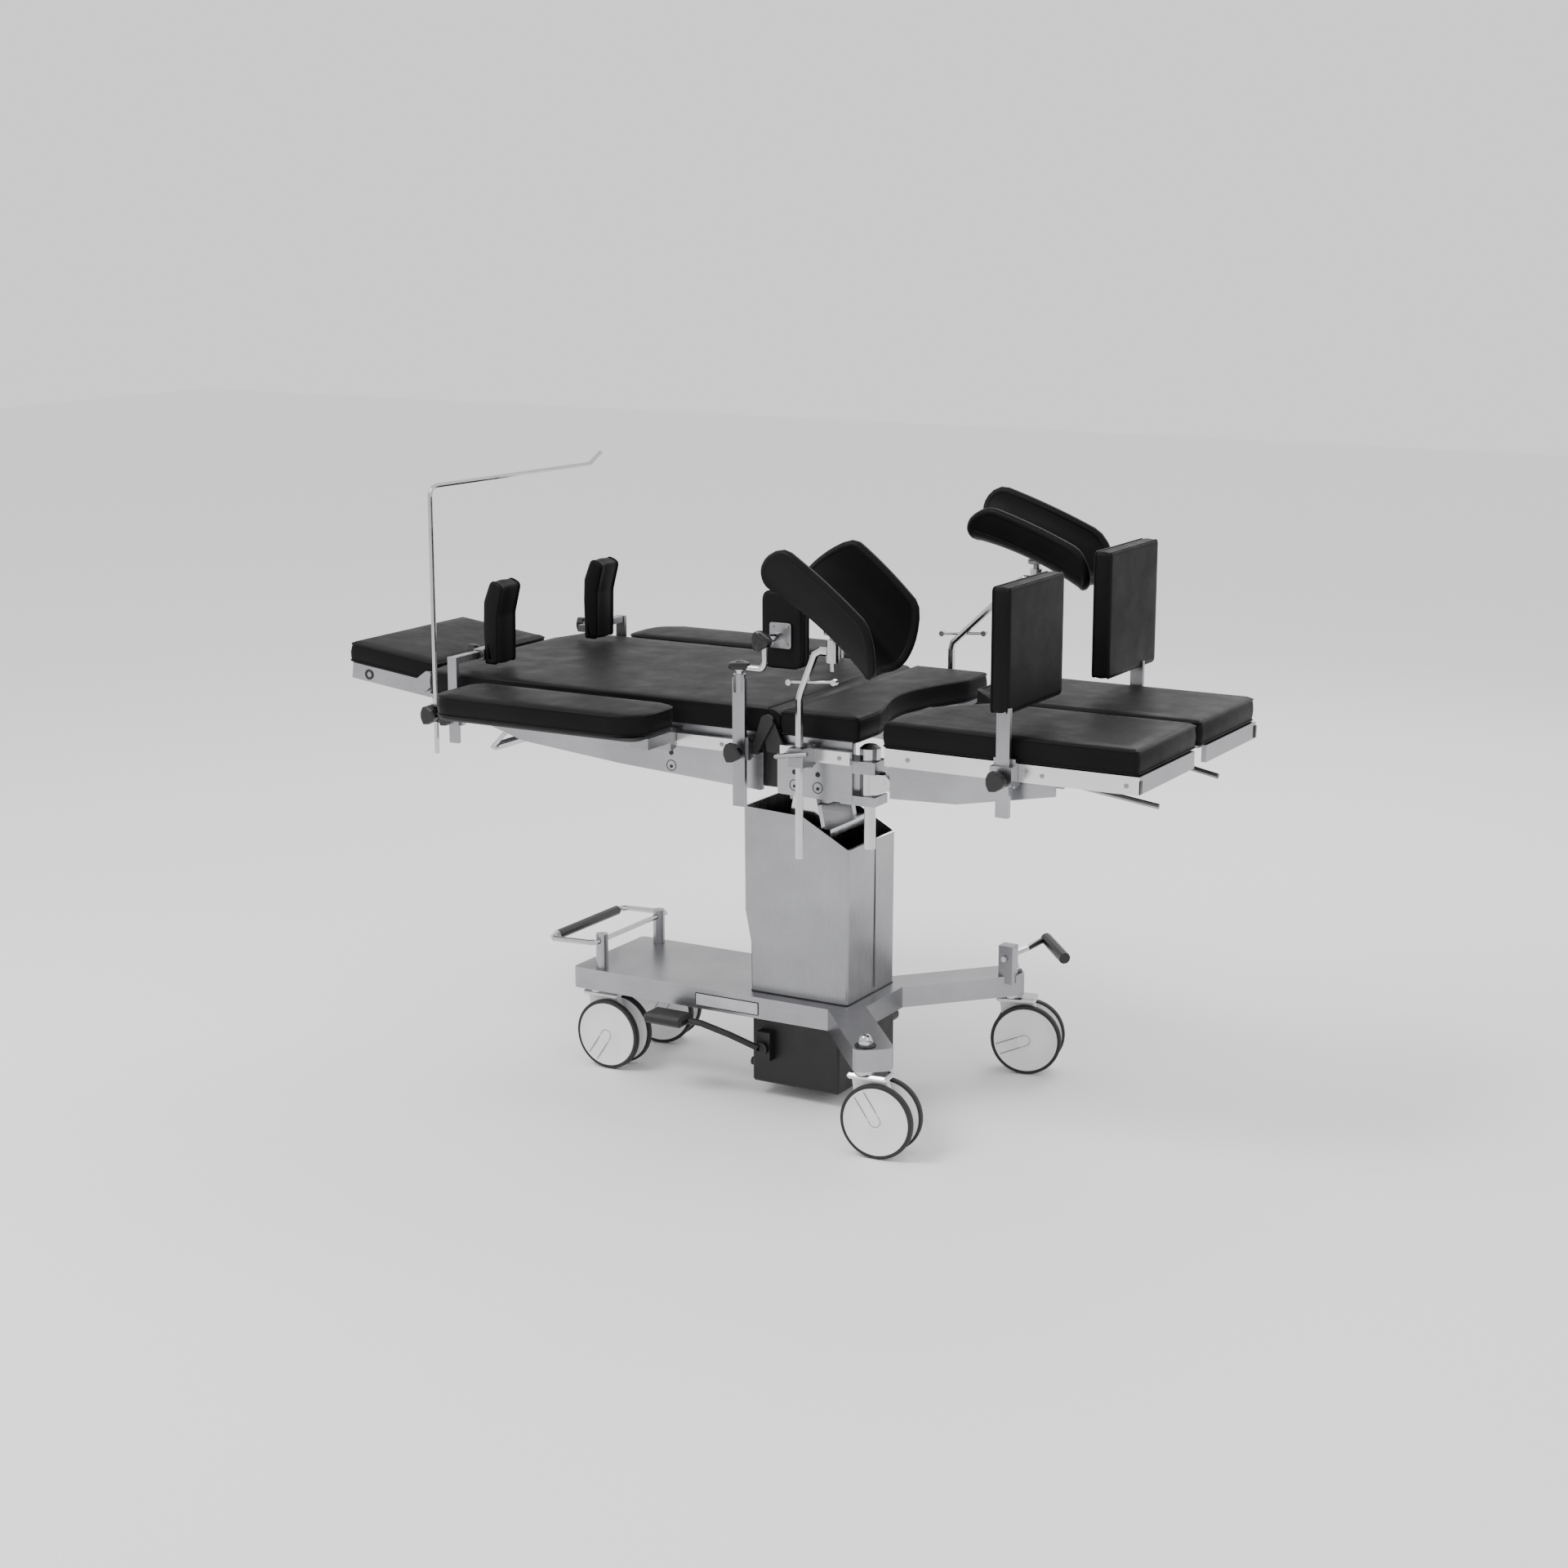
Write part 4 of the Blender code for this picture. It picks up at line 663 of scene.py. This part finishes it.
# Rails polished; the hinge gap and the strip above the rails painted black as painted shade
for key in ("back_frame", "seat_frame"):
    repaint(key, "sheet", ("bright", on_rail), ("paint_and_shade", painted_hinge_gap_shade), ("paint_and_shade", above_rail))
repaint("brake_bar", "chrome", ("knob", on_brake_grip))
repaint("foot_lever", "chrome", ("knob", lambda c, n: c.x > 0.325))
for corner in ("foot_near", "foot_far", "head_near", "head_far"):
    repaint("caster_fork_" + corner, "white", ("chrome", lambda c, n: c.z > 0.159))
for side, _ in SIDES:
    repaint("arm_board_bracket_" + side, "steel")
    repaint("leg_holder_clamp_" + side, "steel")
    repaint("leg_lever_" + side, "steel", ("knob", lambda c, n: c.x > 0.745))
    for key in ("side_support_post_", "shoulder_bracket_", "foot_board_clamp_"):
        repaint(key + side, "upright", ("knob", on_knob))
repaint("screen_clamp", "paint_and_shade", ("knob", on_knob))


# Table cushions
def build_table_pads():
    foot = 0.040
    head, half = -0.799, 0.285
    outline = [(foot, half), (head + 0.023, half), (head, half - 0.085), (head, 0.085 - half),
               (head + 0.023, -half), (foot, -half)]
    back = cushion("back_cushion", "back_section", outline, [0.0015, 0.02, 0.012, 0.012, 0.02, 0.0015],
                   PAD_LOW, PAD_HIGH, skip=lambda p: p.x > foot - 0.003, cell=0.024)
    roll = bmesh.new()
    profile = [(0.0, -0.2845), (0.012, -0.2843), (0.0205, -0.2825), (0.0232, -0.279)]
    profile += [(0.0236, -0.27 + 0.03 * k) for k in range(19)]
    profile += [(0.0232, 0.279), (0.0205, 0.2825), (0.012, 0.2843), (0.0, 0.2845)]
    lathe(roll, profile, at(foot, 0, PAD_MIDDLE), (0, 1, 0), 48)
    nose = finish_mesh("back_cushion_roll", roll, ["vinyl"], "back_section")
    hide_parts("back_pad")
    seat_head, seat_foot, steps = 0.0645, 0.233, 24
    bow = [(seat_foot - 0.050 * math.sin(math.pi * t / steps) ** 1.4, -0.200 + 0.400 * t / steps)
           for t in range(steps + 1)]
    outline = [(seat_head, half), (seat_head, -half), (seat_foot, -half)] + bow + [(seat_foot, half)]
    radii = [0.006, 0.006, 0.012] + [0] * len(bow) + [0.012]
    seat = cushion("seat_cushion", "seat_section", outline, radii, PAD_LOW, PAD_HIGH, cell=0.020)
    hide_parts("seat_pad")
    shape = [(0.290, LEG_RAIL_Y), (0.290, 0.112), (0.382, 0.010), (0.806, 0.010), (0.806, LEG_RAIL_Y)]
    for side, hand in SIDES:
        outline = [(x, hand * y) for x, y in shape]
        leg = cushion("leg_cushion_" + side, "leg_section_" + side, outline,
                      [0.010, 0.012, 0.012, 0.010, 0.010], PAD_LOW, PAD_HIGH)
        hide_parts("leg_pad_" + side)
    outline = [(-0.241, -0.2025), (-0.011, -0.2025), (-0.011, 0.2025), (-0.241, 0.2025)]
    high = 0.024
    rest = cushion("head_cushion", "head_section", outline, [0.014, 0.006, 0.006, 0.014],
                   high - 0.043, high, place=lambda x, y, z: HEAD_PLACE @ Vector((x, y, z)),
                   cell=0.020)
    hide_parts("head_pad")


def build_arm_boards():
    for side, hand in SIDES:
        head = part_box("arm_board_" + side)[0].x - COLUMN_X
        foot, inner, outer = -0.140, hand * 0.325, hand * 0.480
        corners = [(head, inner), (foot, inner), (foot, outer), (head, outer)]
        radii = [0.030, 0.036, 0.068, 0.042] if hand < 0 else [0.040, 0.020, 0.036, 0.070]
        pad = cushion("arm_cushion_" + side, "arm_board_" + side, corners, radii, 0.8058, 0.8490,
                      cell=0.018, crown=0.003)
        tray = bmesh.new()
        shape = round_outline(offset_outline(counter_clockwise(corners), 0.006), [0.03] * 4, 5)
        plank(tray, shape, 0.7985, 0.8056, at, 0.0025)
        finish_mesh("arm_tray_" + side, tray, ["board"], "arm_board_" + side)
        hub = bmesh.new()
        profile = [(0, -0.0365), (0.0065, -0.0365), (0.0078, -0.035), (0.0078, -0.0095),
                   (0.0205, -0.0095), (0.022, -0.008), (0.022, -0.0016)]
        lathe(hub, profile, at(-0.190, hand * 0.372, 0.80))
        finish_mesh("arm_pivot_" + side, hub, ["steel"], "arm_board_" + side)
        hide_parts("arm_board_" + side)


def build_shoulder_pads():
    x = -0.690
    walls = ((-0.013, -0.0094, 0.875, 0.897), (0.0094, 0.013, 0.875, 0.897),
             (-0.0128, 0.0128, 0.8934, 0.897), (-0.0128, 0.0128, 0.875, 0.8786))
    screw = [(0, -0.0255), (0.0042, -0.0255), (0.0048, -0.025), (0.0048, -0.0128), (0, -0.0128)]
    for side, hand in SIDES:
        body = "shoulder_pad_" + side
        outline = [(x + 0.011, 0.866), (x + 0.042, 0.866), (x + 0.044, 0.968), (x + 0.060, 1.030),
                   (x + 0.030, 1.043), (x + 0.011, 0.995), (x + 0.009, 0.950)]
        outline = round_outline(outline, [0.004, 0.008, 0.045, 0.012, 0.014, 0.030, 0.040])
        pad = cushion("shoulder_cushion_" + side, body, outline, 0, 0.150, 0.2195,
                      place=upright(hand), cell=0.010, both=True)
        sleeve = bmesh.new()
        across = (hand * 0.180, hand * 0.225)
        for start, end, low, high in walls:
            block(sleeve, (x + start, x + end), across, (low, high), 0.0012)
        lathe(sleeve, screw, at(x, hand * 0.2025, 0.886), (1, 0, 0), 20)
        block(sleeve, (x + 0.0062, x + 0.0088), (hand * 0.158, hand * 0.212), (0.872, 0.960), 0.0008)
        finish_mesh("shoulder_sleeve_" + side, sleeve, ["steel"], body)
        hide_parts("shoulder_pad_" + side)


def knob(bm, centre, axis, across, radius, thick):
    """Three-lobed clamp grip with rounded faces and a dimple."""
    axis = Vector(axis)
    across = Vector(across)
    up = axis.cross(across)
    count = 36
    rings = []
    dimple = thick - 0.0015
    levels = [(0.30, 0.0), (0.80, 0.0), (0.95, thick * 0.10), (1.0, thick * 0.28),
              (1.0, thick * 0.72), (0.95, thick * 0.90), (0.80, thick), (0.45, thick),
              (0.38, dimple), (0.05, dimple)]
    for scale, h in levels:
        ring = []
        for k in range(count):
            turn = math.tau * k / count
            lobe = 1.0 + 0.15 * math.cos(3 * turn) * min(1.0, scale * 1.1)
            r = radius * scale * lobe
            spoke = across * (r * math.cos(turn)) + up * (r * math.sin(turn))
            ring.append(bm.verts.new(centre + axis * h + spoke))
        rings.append(ring)
    skin(bm, rings)
    close_ends(bm, rings)


def build_side_supports():
    for (side, hand), x in zip(SIDES, (-0.010, -0.140)):
        body = "side_support_arm_" + side
        y = hand * (RAIL_Y + 0.016)
        crank = x + 0.056
        outline = [(x + 0.012, 0.925), (x + 0.100, 0.925), (x + 0.100, 1.075), (x + 0.012, 1.075)]
        pad = cushion("side_cushion_" + side, body, outline, 0.020, -0.2485, -0.216,
                      place=upright(-hand), cell=0.012, crown=0.004)
        arm = bmesh.new()
        profile = [(0, 0.9003), (0.0076, 0.9003), (0.0078, 0.901), (0.0078, 0.9275), (0.0128, 0.9278),
                   (0.0130, 0.9285), (0.0130, 0.9296), (0, 0.9298)]
        lathe(arm, profile, at(x, y, 0), (0, 0, 1), 32)
        path = bend_path([at(x + 0.006, y, 0.9330), at(x + 0.050, y, 0.9330), at(crank, y, 0.945),
                          at(crank, y, 0.991)], 0.012)
        sweep(arm, path, 0.0062, sides=14)
        profile = [(0, 0.250), (0.0072, 0.250), (0.0075, 0.2503), (0.0075, 0.320), (0.0068, 0.321),
                   (0, 0.321)]
        lathe(arm, profile, at(crank, 0, 0.990), (0, hand, 0), 28)
        finish_mesh("side_bar_" + side, arm, ["chrome"], body)
        fixings = bmesh.new()
        outline = [(x + 0.032, 0.965), (x + 0.080, 0.965), (x + 0.080, 1.015), (x + 0.032, 1.015)]
        plank(fixings, round_outline(outline, [0.006] * 4), 0.2482, 0.2545, upright(hand), 0.0014)
        screw = [(0, 0.2545), (0.0035, 0.2545), (0.0032, 0.2560), (0.0015, 0.2565), (0, 0.2565)]
        for sx, sz in ((0.040, 0.973), (0.072, 0.973), (0.040, 1.007), (0.072, 1.007)):
            lathe(fixings, screw, at(x + sx, 0, sz), (0, hand, 0), 16)
        finish_mesh("side_plate_" + side, fixings, ["steel"], body)
        grip = bmesh.new()
        knob(grip, at(crank, hand * 0.3165, 0.990), (0, hand, 0), (1, 0, 0), 0.0185, 0.0215)
        knob(grip, at(x, y, 0.9296), (0, 0, 1), (1, 0, 0), 0.0195, 0.0140)
        finish_mesh("side_knob_" + side, grip, ["knob"], body)
        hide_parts("side_support_arm_" + side)


def build_foot_boards():
    boards = {"near": ((0.078, 0.320), (0.896, 1.128)), "far": ((0.140, 0.382), (0.888, 1.138))}
    for side, hand in SIDES:
        body = "foot_board_" + side
        (inner, outer), (low, high) = boards[side]
        outline = [(hand * inner, low), (hand * outer, low), (hand * outer, high), (hand * inner, high)]
        pad = cushion("foot_cushion_" + side, body, outline, 0.009, -0.560, -0.522,
                      place=lambda u, v, w: at(-w, u, v), cell=0.016, crown=0.0016, edge=0.0036)
        post = bmesh.new()
        y0, y1 = hand * (RAIL_Y + 0.0115), hand * (RAIL_Y + 0.0205)
        block(post, (0.5365, 0.5635), (y0, y1), (0.702, low + 0.012), 0.0016)
        finish_mesh("foot_post_" + side, post, ["upright"], body)
        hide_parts("foot_board_" + side)


# Knee troughs: the head end, the foot end and the rise at each, along the bottom and each wing's lip
TROUGH_BOTTOM = (-0.110, 0.124, 0.0, 0.0)
OUTER_WING = {"near": (-0.200, 0.160, 0.092, 0.086), "far": (-0.240, 0.165, 0.076, 0.072)}
INNER_WING = {"near": (-0.148, 0.145, 0.123, 0.100), "far": (-0.165, 0.190, 0.075, 0.071)}
# Where each trough turns: x, height and pitch in degrees
KNEES = {"near": (0.200, 1.032, 35.0), "far": (0.318, 1.095, 19.0)}
KNEE_Y = 0.3235
SHELL_HALF = 0.0082


def trough_point(side, u, v):
    """The trough's middle surface: u runs from head to foot, v from the outer lip to the inner."""
    reach = abs(v)
    lip = OUTER_WING[side] if v < 0 else INNER_WING[side]
    head, foot, head_rise, foot_rise = (b + (w - b) * reach ** 2 for b, w in zip(TROUGH_BOTTOM, lip))
    u = 0.5 + (u - 0.5) * (1 - 0.42 * reach ** 5)
    turn = reach * math.pi / 2
    rise = 0.010 + (head_rise + (foot_rise - head_rise) * u - 0.010) * (1 - math.cos(turn)) ** 0.72
    across = 0.080 * math.sin(turn) ** 0.92 + 0.012 * max(0.0, reach - 0.7) / 0.3
    droop = 0.012 * (2 * abs(u - 0.45)) ** 2
    return Vector((head + (foot - head) * u, math.copysign(across, v), rise - droop))


def build_troughs():
    for side, hand in SIDES:
        knee_x, knee_z, pitch = KNEES[side]
        body = "leg_holder_shell_" + side
        knee = at(knee_x, hand * KNEE_Y, knee_z)
        place = Matrix.Translation(knee) @ Matrix.Rotation(math.radians(pitch), 4, "Y")
        if hand > 0:
            place = place @ Matrix.Scale(-1, 4, (0, 1, 0))

        def spot(u, v, lift=0.0, side=side, place=place):
            p = trough_point(side, u, v)
            if lift:
                du = trough_point(side, min(1, u + 0.02), v) - trough_point(side, max(0, u - 0.02), v)
                dv = trough_point(side, u, min(1, v + 0.02)) - trough_point(side, u, max(-1, v - 0.02))
                p = p + du.cross(dv).normalized() * lift
            return place @ p

        along, across = 16, 36
        bm = bmesh.new()
        layers = []
        for lift in (SHELL_HALF, -SHELL_HALF):
            rows = []
            for i in range(along + 1):
                row = []
                for j in range(across + 1):
                    u, v = i / along, 2 * j / across - 1
                    full = lift
                    if lift > 0:
                        rise = max(0.0, 1 - (2 * u - 1) ** 4) * max(0.0, 1 - v ** 6)
                        full = lift + 0.0025 * rise + 0.0004 * noise.noise(Vector((u * 9, v * 9, hand)))
                    row.append(bm.verts.new(spot(u, v, full)))
                rows.append(row)
            layers.append(rows)
        # The layer lifted along the normal, the trough's inside, takes the blacker vinyl as painted
        # shade
        for rows, mat in zip(layers, (1, 0)):
            for a, b in zip(rows, rows[1:]):
                for j in range(across):
                    bm.faces.new((a[j], b[j], b[j + 1], a[j + 1])).material_index = mat
        border = [(i, 0) for i in range(along)] + [(along, j) for j in range(across)]
        border += [(i, across) for i in range(along, 0, -1)] + [(0, j) for j in range(across, 0, -1)]
        for k, (i, j) in enumerate(border):
            m, n = border[(k + 1) % len(border)]
            upper, lower = layers
            bm.faces.new((upper[i][j], upper[m][n], lower[m][n], lower[i][j])).material_index = 2
        rim = [spot(i / along, 2 * j / across - 1) for i, j in border]
        rim = [(a + 2 * b + c) / 4 for a, b, c in zip(rim[-1:] + rim[:-1], rim, rim[1:] + rim[:1])]
        sweep(bm, rim, 0.0096, closed=True, sides=12, mat=2)
        if side == "far":
            for v in (0.72, -0.72):
                seam = [spot(0.04 + 0.92 * k / 30, v, -0.0006 - SHELL_HALF) for k in range(31)]
                sweep(bm, seam, 0.0013, mat=3)
        mats = ["vinyl", "vinyl_shaded_inside", "vinyl", "piping"]
        shell = finish_mesh("knee_trough_" + side, bm, mats, body, 50.0)
        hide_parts("leg_holder_shell_" + side)
        stalk = bmesh.new()
        profile = [(0, -0.030), (0.0058, -0.030), (0.0064, -0.0294), (0.0064, -0.017),
                   (0.0165, -0.017), (0.018, -0.0155), (0.018, -0.0095), (0.0165, -0.0082),
                   (0.0135, -0.0082), (0.0135, 0.0040), (0, 0.0040)]
        lathe(stalk, profile, knee, (0, 0, 1), 32)
        finish_mesh("knee_stalk_" + side, stalk, ["steel"], body)


# Twin casters: each one's turn about its stem, and the lean of the slot in its disc, in degrees
CASTER_TURN = {"foot_near": 5.0, "foot_far": 15.0, "head_near": 0.0, "head_far": 10.0}
SLOT_LEAN = {"foot_near": 124.0, "foot_far": 202.0, "head_near": 236.0, "head_far": 60.0}
# A wheel's section as (radius, distance from its inner face), and each band's finish
WHEEL_INNER = 0.0085
WHEEL = [(0.0, 0.0), (0.0300, 0.0), (0.0330, 0.0020), (0.0640, 0.0086), (0.0690, 0.0092),
         (0.0700, 0.0084), (0.0738, 0.0092), (0.0748, 0.0108), (0.0750, 0.0128), (0.0750, 0.0196),
         (0.0746, 0.0214), (0.0734, 0.0230), (0.0706, 0.0234), (0.0682, 0.0232), (0.0676, 0.0224),
         (0.0670, 0.0238), (0.0658, 0.0240), (0.0644, 0.0230), (0.0400, 0.0222), (0.0215, 0.0226),
         (0.0190, 0.0234), (0.0150, 0.0240), (0.0145, 0.0232), (0.0070, 0.0238), (0.0, 0.0240)]
WHEEL_MATS = [0] * 5 + [1] * 9 + [0] * 10
SLOT_HALF = 0.0115
SLOT_END = 0.002


def build_wheels():
    for corner, degrees in CASTER_TURN.items():
        lo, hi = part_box("caster_wheels_" + corner)
        centre = (lo + hi) / 2
        turn = math.radians(degrees)
        axle = Vector((-math.sin(turn), math.cos(turn), 0))
        forward = Vector((math.cos(turn), math.sin(turn), 0))
        bm = bmesh.new()
        for way in (-1, 1):
            profile = [(r, WHEEL_INNER + h) for r, h in WHEEL]
            lathe(bm, profile, centre, axle * way, 72, WHEEL_MATS)
            face = WHEEL_INNER + 0.0227
            lean = math.radians(SLOT_LEAN[corner] if way < 0 else SLOT_LEAN[corner] + 70)
            along = Vector((0, 0, 1)) * math.sin(lean) + forward * math.cos(lean)
            side = along.cross(axle)
            slot = [along * (0.062 - 0.0075 * k) + side * SLOT_HALF for k in range(9)]
            for k in range(1, 12):
                t = math.pi * k / 12
                reach = SLOT_END - SLOT_HALF * math.sin(t)
                slot.append(along * reach + side * (SLOT_HALF * math.cos(t)))
            slot += [along * (SLOT_END + 0.0075 * k) - side * SLOT_HALF for k in range(9)]
            sweep(bm, [centre + axle * (way * face) + p for p in slot], 0.0013, mat=3)
        pin = [(0, -0.0088), (0.0061, -0.0088), (0.0061, 0.0088), (0, 0.0088)]
        lathe(bm, pin, centre, axle, 20, [3, 3, 3])
        mats = ["white", "tread", "plate", "steel"]
        wheels = finish_mesh("twin_wheels_" + corner, bm, mats, "wheels_" + corner)
        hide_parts("caster_wheels_" + corner)


# Small fittings on the kept solids
def left_turn(a, b, c):
    return (b[0] - a[0]) * (c[1] - a[1]) - (b[1] - a[1]) * (c[0] - a[0]) > 1e-9


def hull_at(node, height):
    """The outline of a kept solid at one height, as a convex ring of points."""
    mesh = NODES[node].data
    cut = []
    for edge in mesh.edges:
        a, b = (mesh.vertices[v].co for v in edge.vertices)
        if (a.z - height) * (b.z - height) < 0:
            p = a.lerp(b, (height - a.z) / (b.z - a.z))
            cut.append((p.x, p.y))
    cut.sort()
    ring = []
    for points in (cut, cut[::-1]):
        chain = []
        for p in points:
            while len(chain) > 1 and not left_turn(chain[-2], chain[-1], p):
                chain.pop()
            chain.append(p)
        ring += chain[:-1]
    return [Vector((x, y, height)) for x, y in ring]


def build_caster_nuts(top):
    nuts = bmesh.new()
    profile = [(0, 0), (0.0205, 0), (0.0210, 0.0006), (0.0206, 0.0022), (0.0150, 0.0026),
               (0.0148, 0.0028), (0.0140, 0.0028), (0.0140, 0.0110), (0.0128, 0.0120),
               (0.0118, 0.0168), (0.0086, 0.0212), (0.0042, 0.0236), (0, 0.0242)]
    for x, y in ((0.264, -0.304), (0.295, 0.296)):
        lathe(nuts, profile, at(x, y, top), (0, 0, 1), 36, [1] * 6 + [0] * 6)
    finish_mesh("caster_stem_nuts", nuts, ["chrome", "paint_and_shade"], "base", 30.0)


def build_bare_plate():
    tag = bmesh.new()
    corners = [(-0.223, 0.178), (-0.074, 0.178), (-0.074, 0.204), (-0.223, 0.204)]
    outline = round_outline(corners, [0.002] * 4, 3)
    face, thick = 0.1365, 0.0009
    plank(tag, outline, face, face + thick, upright(-1), 0.0003)
    rivet = [(0, 0), (0.0017, 0), (0.0015, 0.0007), (0.0006, 0.0010), (0, 0.0010)]
    for x in (-0.219, -0.078):
        for z in (0.182, 0.200):
            lathe(tag, rivet, at(x, -face - thick, z), (0, -1, 0), 14)
    sweep(tag, [at(p.x, -face - 0.0006, p.y) for p in outline], 0.0011, closed=True, mat=1)
    finish_mesh("bare_plate", tag, ["plate", "paint_and_shade"], "base")


def build_shroud_seam_shade(top):
    """Painted shade: black lines for the shaded joint at the column cover's foot and the seam groove up
    its foot-end face.
    """
    low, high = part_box("column_shroud")
    seams = bmesh.new()
    foot = hull_at("column_shroud", top + 0.0012)
    middle = sum(foot, Vector()) / len(foot)
    ring = [p + (p - middle).normalized() * 0.0004 for p in foot]
    sweep(seams, ring, 0.0012, closed=True)
    split = low.y + 0.57 * (high.y - low.y)
    line = [Vector((high.x + 0.0001, split, top + 0.012 + k * 0.011)) for k in range(30)]
    sweep(seams, line, 0.0008)
    finish_mesh("shroud_seam_shade", seams, ["paint_and_shade"], "base")


def build_fittings():
    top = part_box("base_cover")[1].z
    build_caster_nuts(top)
    build_bare_plate()
    build_shroud_seam_shade(top)
    for name, body, spots in (("seat_rail_bolts", "seat_section", (0.088, 0.200)),
                              ("back_rail_bolts", "back_section", (-0.600, -0.330, -0.060))):
        bolts = bmesh.new()
        for hand in (-1, 1):
            for x in spots:
                bolt(bolts, at(x, hand * RAIL_Y, RAIL_MIDDLE), (0, hand, 0))
        finish_mesh(name, bolts, ["steel"], body)
    button = [(0, -0.0006), (0.0050, -0.0006), (0.0052, 0.0006), (0.0044, 0.0012),
              (0.0026, 0.0012), (0.0025, 0.0004), (0, 0.0004)]
    dot = [(0, -0.0006), (0.0034, -0.0006), (0.0034, 0.0009), (0.0020, 0.0014), (0, 0.0014)]
    turns = [math.tau * k / 32 for k in range(32)]
    for name, body, spots in (("seat_adjusters", "seat_section", ((0.090, 0.731), (0.141, 0.731))),
                              ("back_adjusters", "back_section", ((-0.190, 0.740),))):
        marks = bmesh.new()
        for hand in (-1, 1):
            for x, z in spots:
                place = at(x, hand * 0.275, z)
                out = Vector((0, hand, 0))
                lathe(marks, button, place, out, 20)
                centre = place - Vector((0, 0, 0.026))
                ring = [centre + Vector((0.0105 * math.cos(t), 0, 0.0105 * math.sin(t))) for t in turns]
                sweep(marks, ring, 0.0009, closed=True)
                lathe(marks, dot, place - Vector((0, 0, 0.028)), out, 16)
        finish_mesh(name, marks, ["knob"], body)
    for side, hand in SIDES:
        bolts = bmesh.new()
        for x in (0.345, 0.620, 0.785):
            bolt(bolts, at(x, hand * LEG_RAIL_Y, 0.7850), (0, hand, 0))
        finish_mesh("leg_rail_bolts_" + side, bolts, ["steel"], "leg_section_" + side)
        caps = bmesh.new()
        block(caps, (0.8092, 0.8122), (hand * 0.2870, hand * 0.2966), (0.7712, 0.7958), 0.0008)
        finish_mesh("leg_rail_caps_" + side, caps, ["knob"], "leg_section_" + side)


def build_hinge_shade_and_eyelets():
    """Black plates inside the side panels at the back hinge, painted shade for the gap between back and
    seat; and the head rail's eyelets.
    """
    shape = [(0.014, 0.694), (0.062, 0.694), (0.062, 0.792), (0.014, 0.792)]
    for side, hand in SIDES:
        bm = bmesh.new()
        plank(bm, shape, 0.2640, 0.2662, upright(hand), 0.0008)
        finish_mesh("hinge_shade_plate_" + side, bm, ["paint_and_shade"], "seat_section")
    rings = bmesh.new()
    profile = [(0.0, -0.0004), (0.0112, -0.0004), (0.0114, 0.0010), (0.0102, 0.0022),
               (0.0080, 0.0024), (0.0064, 0.0018), (0.0058, 0.0006), (0.0, 0.0006)]
    for hand in (-1, 1):
        hub = HEAD_PLACE @ Vector((-0.186, hand * 0.198, -0.0375))
        out = HEAD_PLACE.to_3x3() @ Vector((0, hand, 0))
        lathe(rings, profile, hub, out, 28, [0] * 6 + [1])
    finish_mesh("head_rail_eyelets", rings, ["paint_and_shade", "steel"], "head_section")


def bolt(bm, place, axis):
    """Low domed screw head with a round socket."""
    profile = [(0, -0.0003), (0.0046, -0.0003), (0.0047, 0.0004), (0.0042, 0.0013), (0.0030, 0.0018),
               (0.0020, 0.0018), (0.0019, 0.0008), (0, 0.0007)]
    lathe(bm, profile, place, axis, 18)


# Floor, light and camera
CAMERA_TURN = 29.82
CAMERA_ABOVE = 12.60


def build_stage():
    bm = bmesh.new()
    bmesh.ops.create_grid(bm, x_segments=2, y_segments=2, size=14.0)
    mesh = bpy.data.meshes.new("floor")
    bm.to_mesh(mesh)
    bm.free()
    floor = bpy.data.objects.new("floor", mesh)
    floor.location.z = -0.0005
    bpy.context.scene.collection.objects.link(floor)
    mat, _, shader = node_material("pale_floor")
    shader.inputs["Base Color"].default_value = (0.93, 0.93, 0.93, 1)
    shader.inputs["Roughness"].default_value = 0.75
    shader.inputs["Specular IOR Level"].default_value = 0.15
    mesh.materials.append(mat)
    world = bpy.data.worlds.new("studio")
    world.use_nodes = True
    back = world.node_tree.nodes["Background"]
    back.inputs["Color"].default_value = (1.0, 1.0, 1.0, 1)
    back.inputs["Strength"].default_value = 1.15
    bpy.context.scene.world = world
    for name, place, size, power in (("key", (-1.6, -2.6, 4.6), 2.2, 170),
                                     ("fill", (4.0, -1.6, 2.6), 2.4, 22),
                                     ("rear", (0.4, 3.4, 3.6), 2.6, 70)):
        light = bpy.data.lights.new(name, "AREA")
        light.shape = "DISK"
        light.size = size
        light.energy = power
        lamp = bpy.data.objects.new(name, light)
        lamp.location = place
        aim = Vector((0.1, 0, 0.6)) - lamp.location
        lamp.rotation_euler = aim.to_track_quat("-Z", "Y").to_euler()
        bpy.context.scene.collection.objects.link(lamp)
    camera = bpy.data.cameras.new("camera")
    camera.sensor_width = 36.0
    camera.lens = 62.25
    camera.clip_end = 100.0
    eye = bpy.data.objects.new("camera", camera)
    eye.location = at(2.608, -4.709, 1.847)
    eye.rotation_euler = (math.radians(90 - CAMERA_ABOVE), 0, math.radians(CAMERA_TURN))
    bpy.context.scene.collection.objects.link(eye)
    bpy.context.scene.camera = eye


build_stage()
build_table_pads()
build_arm_boards()
build_shoulder_pads()
build_side_supports()
build_foot_boards()
build_troughs()
build_wheels()
build_fittings()
build_hinge_shade_and_eyelets()
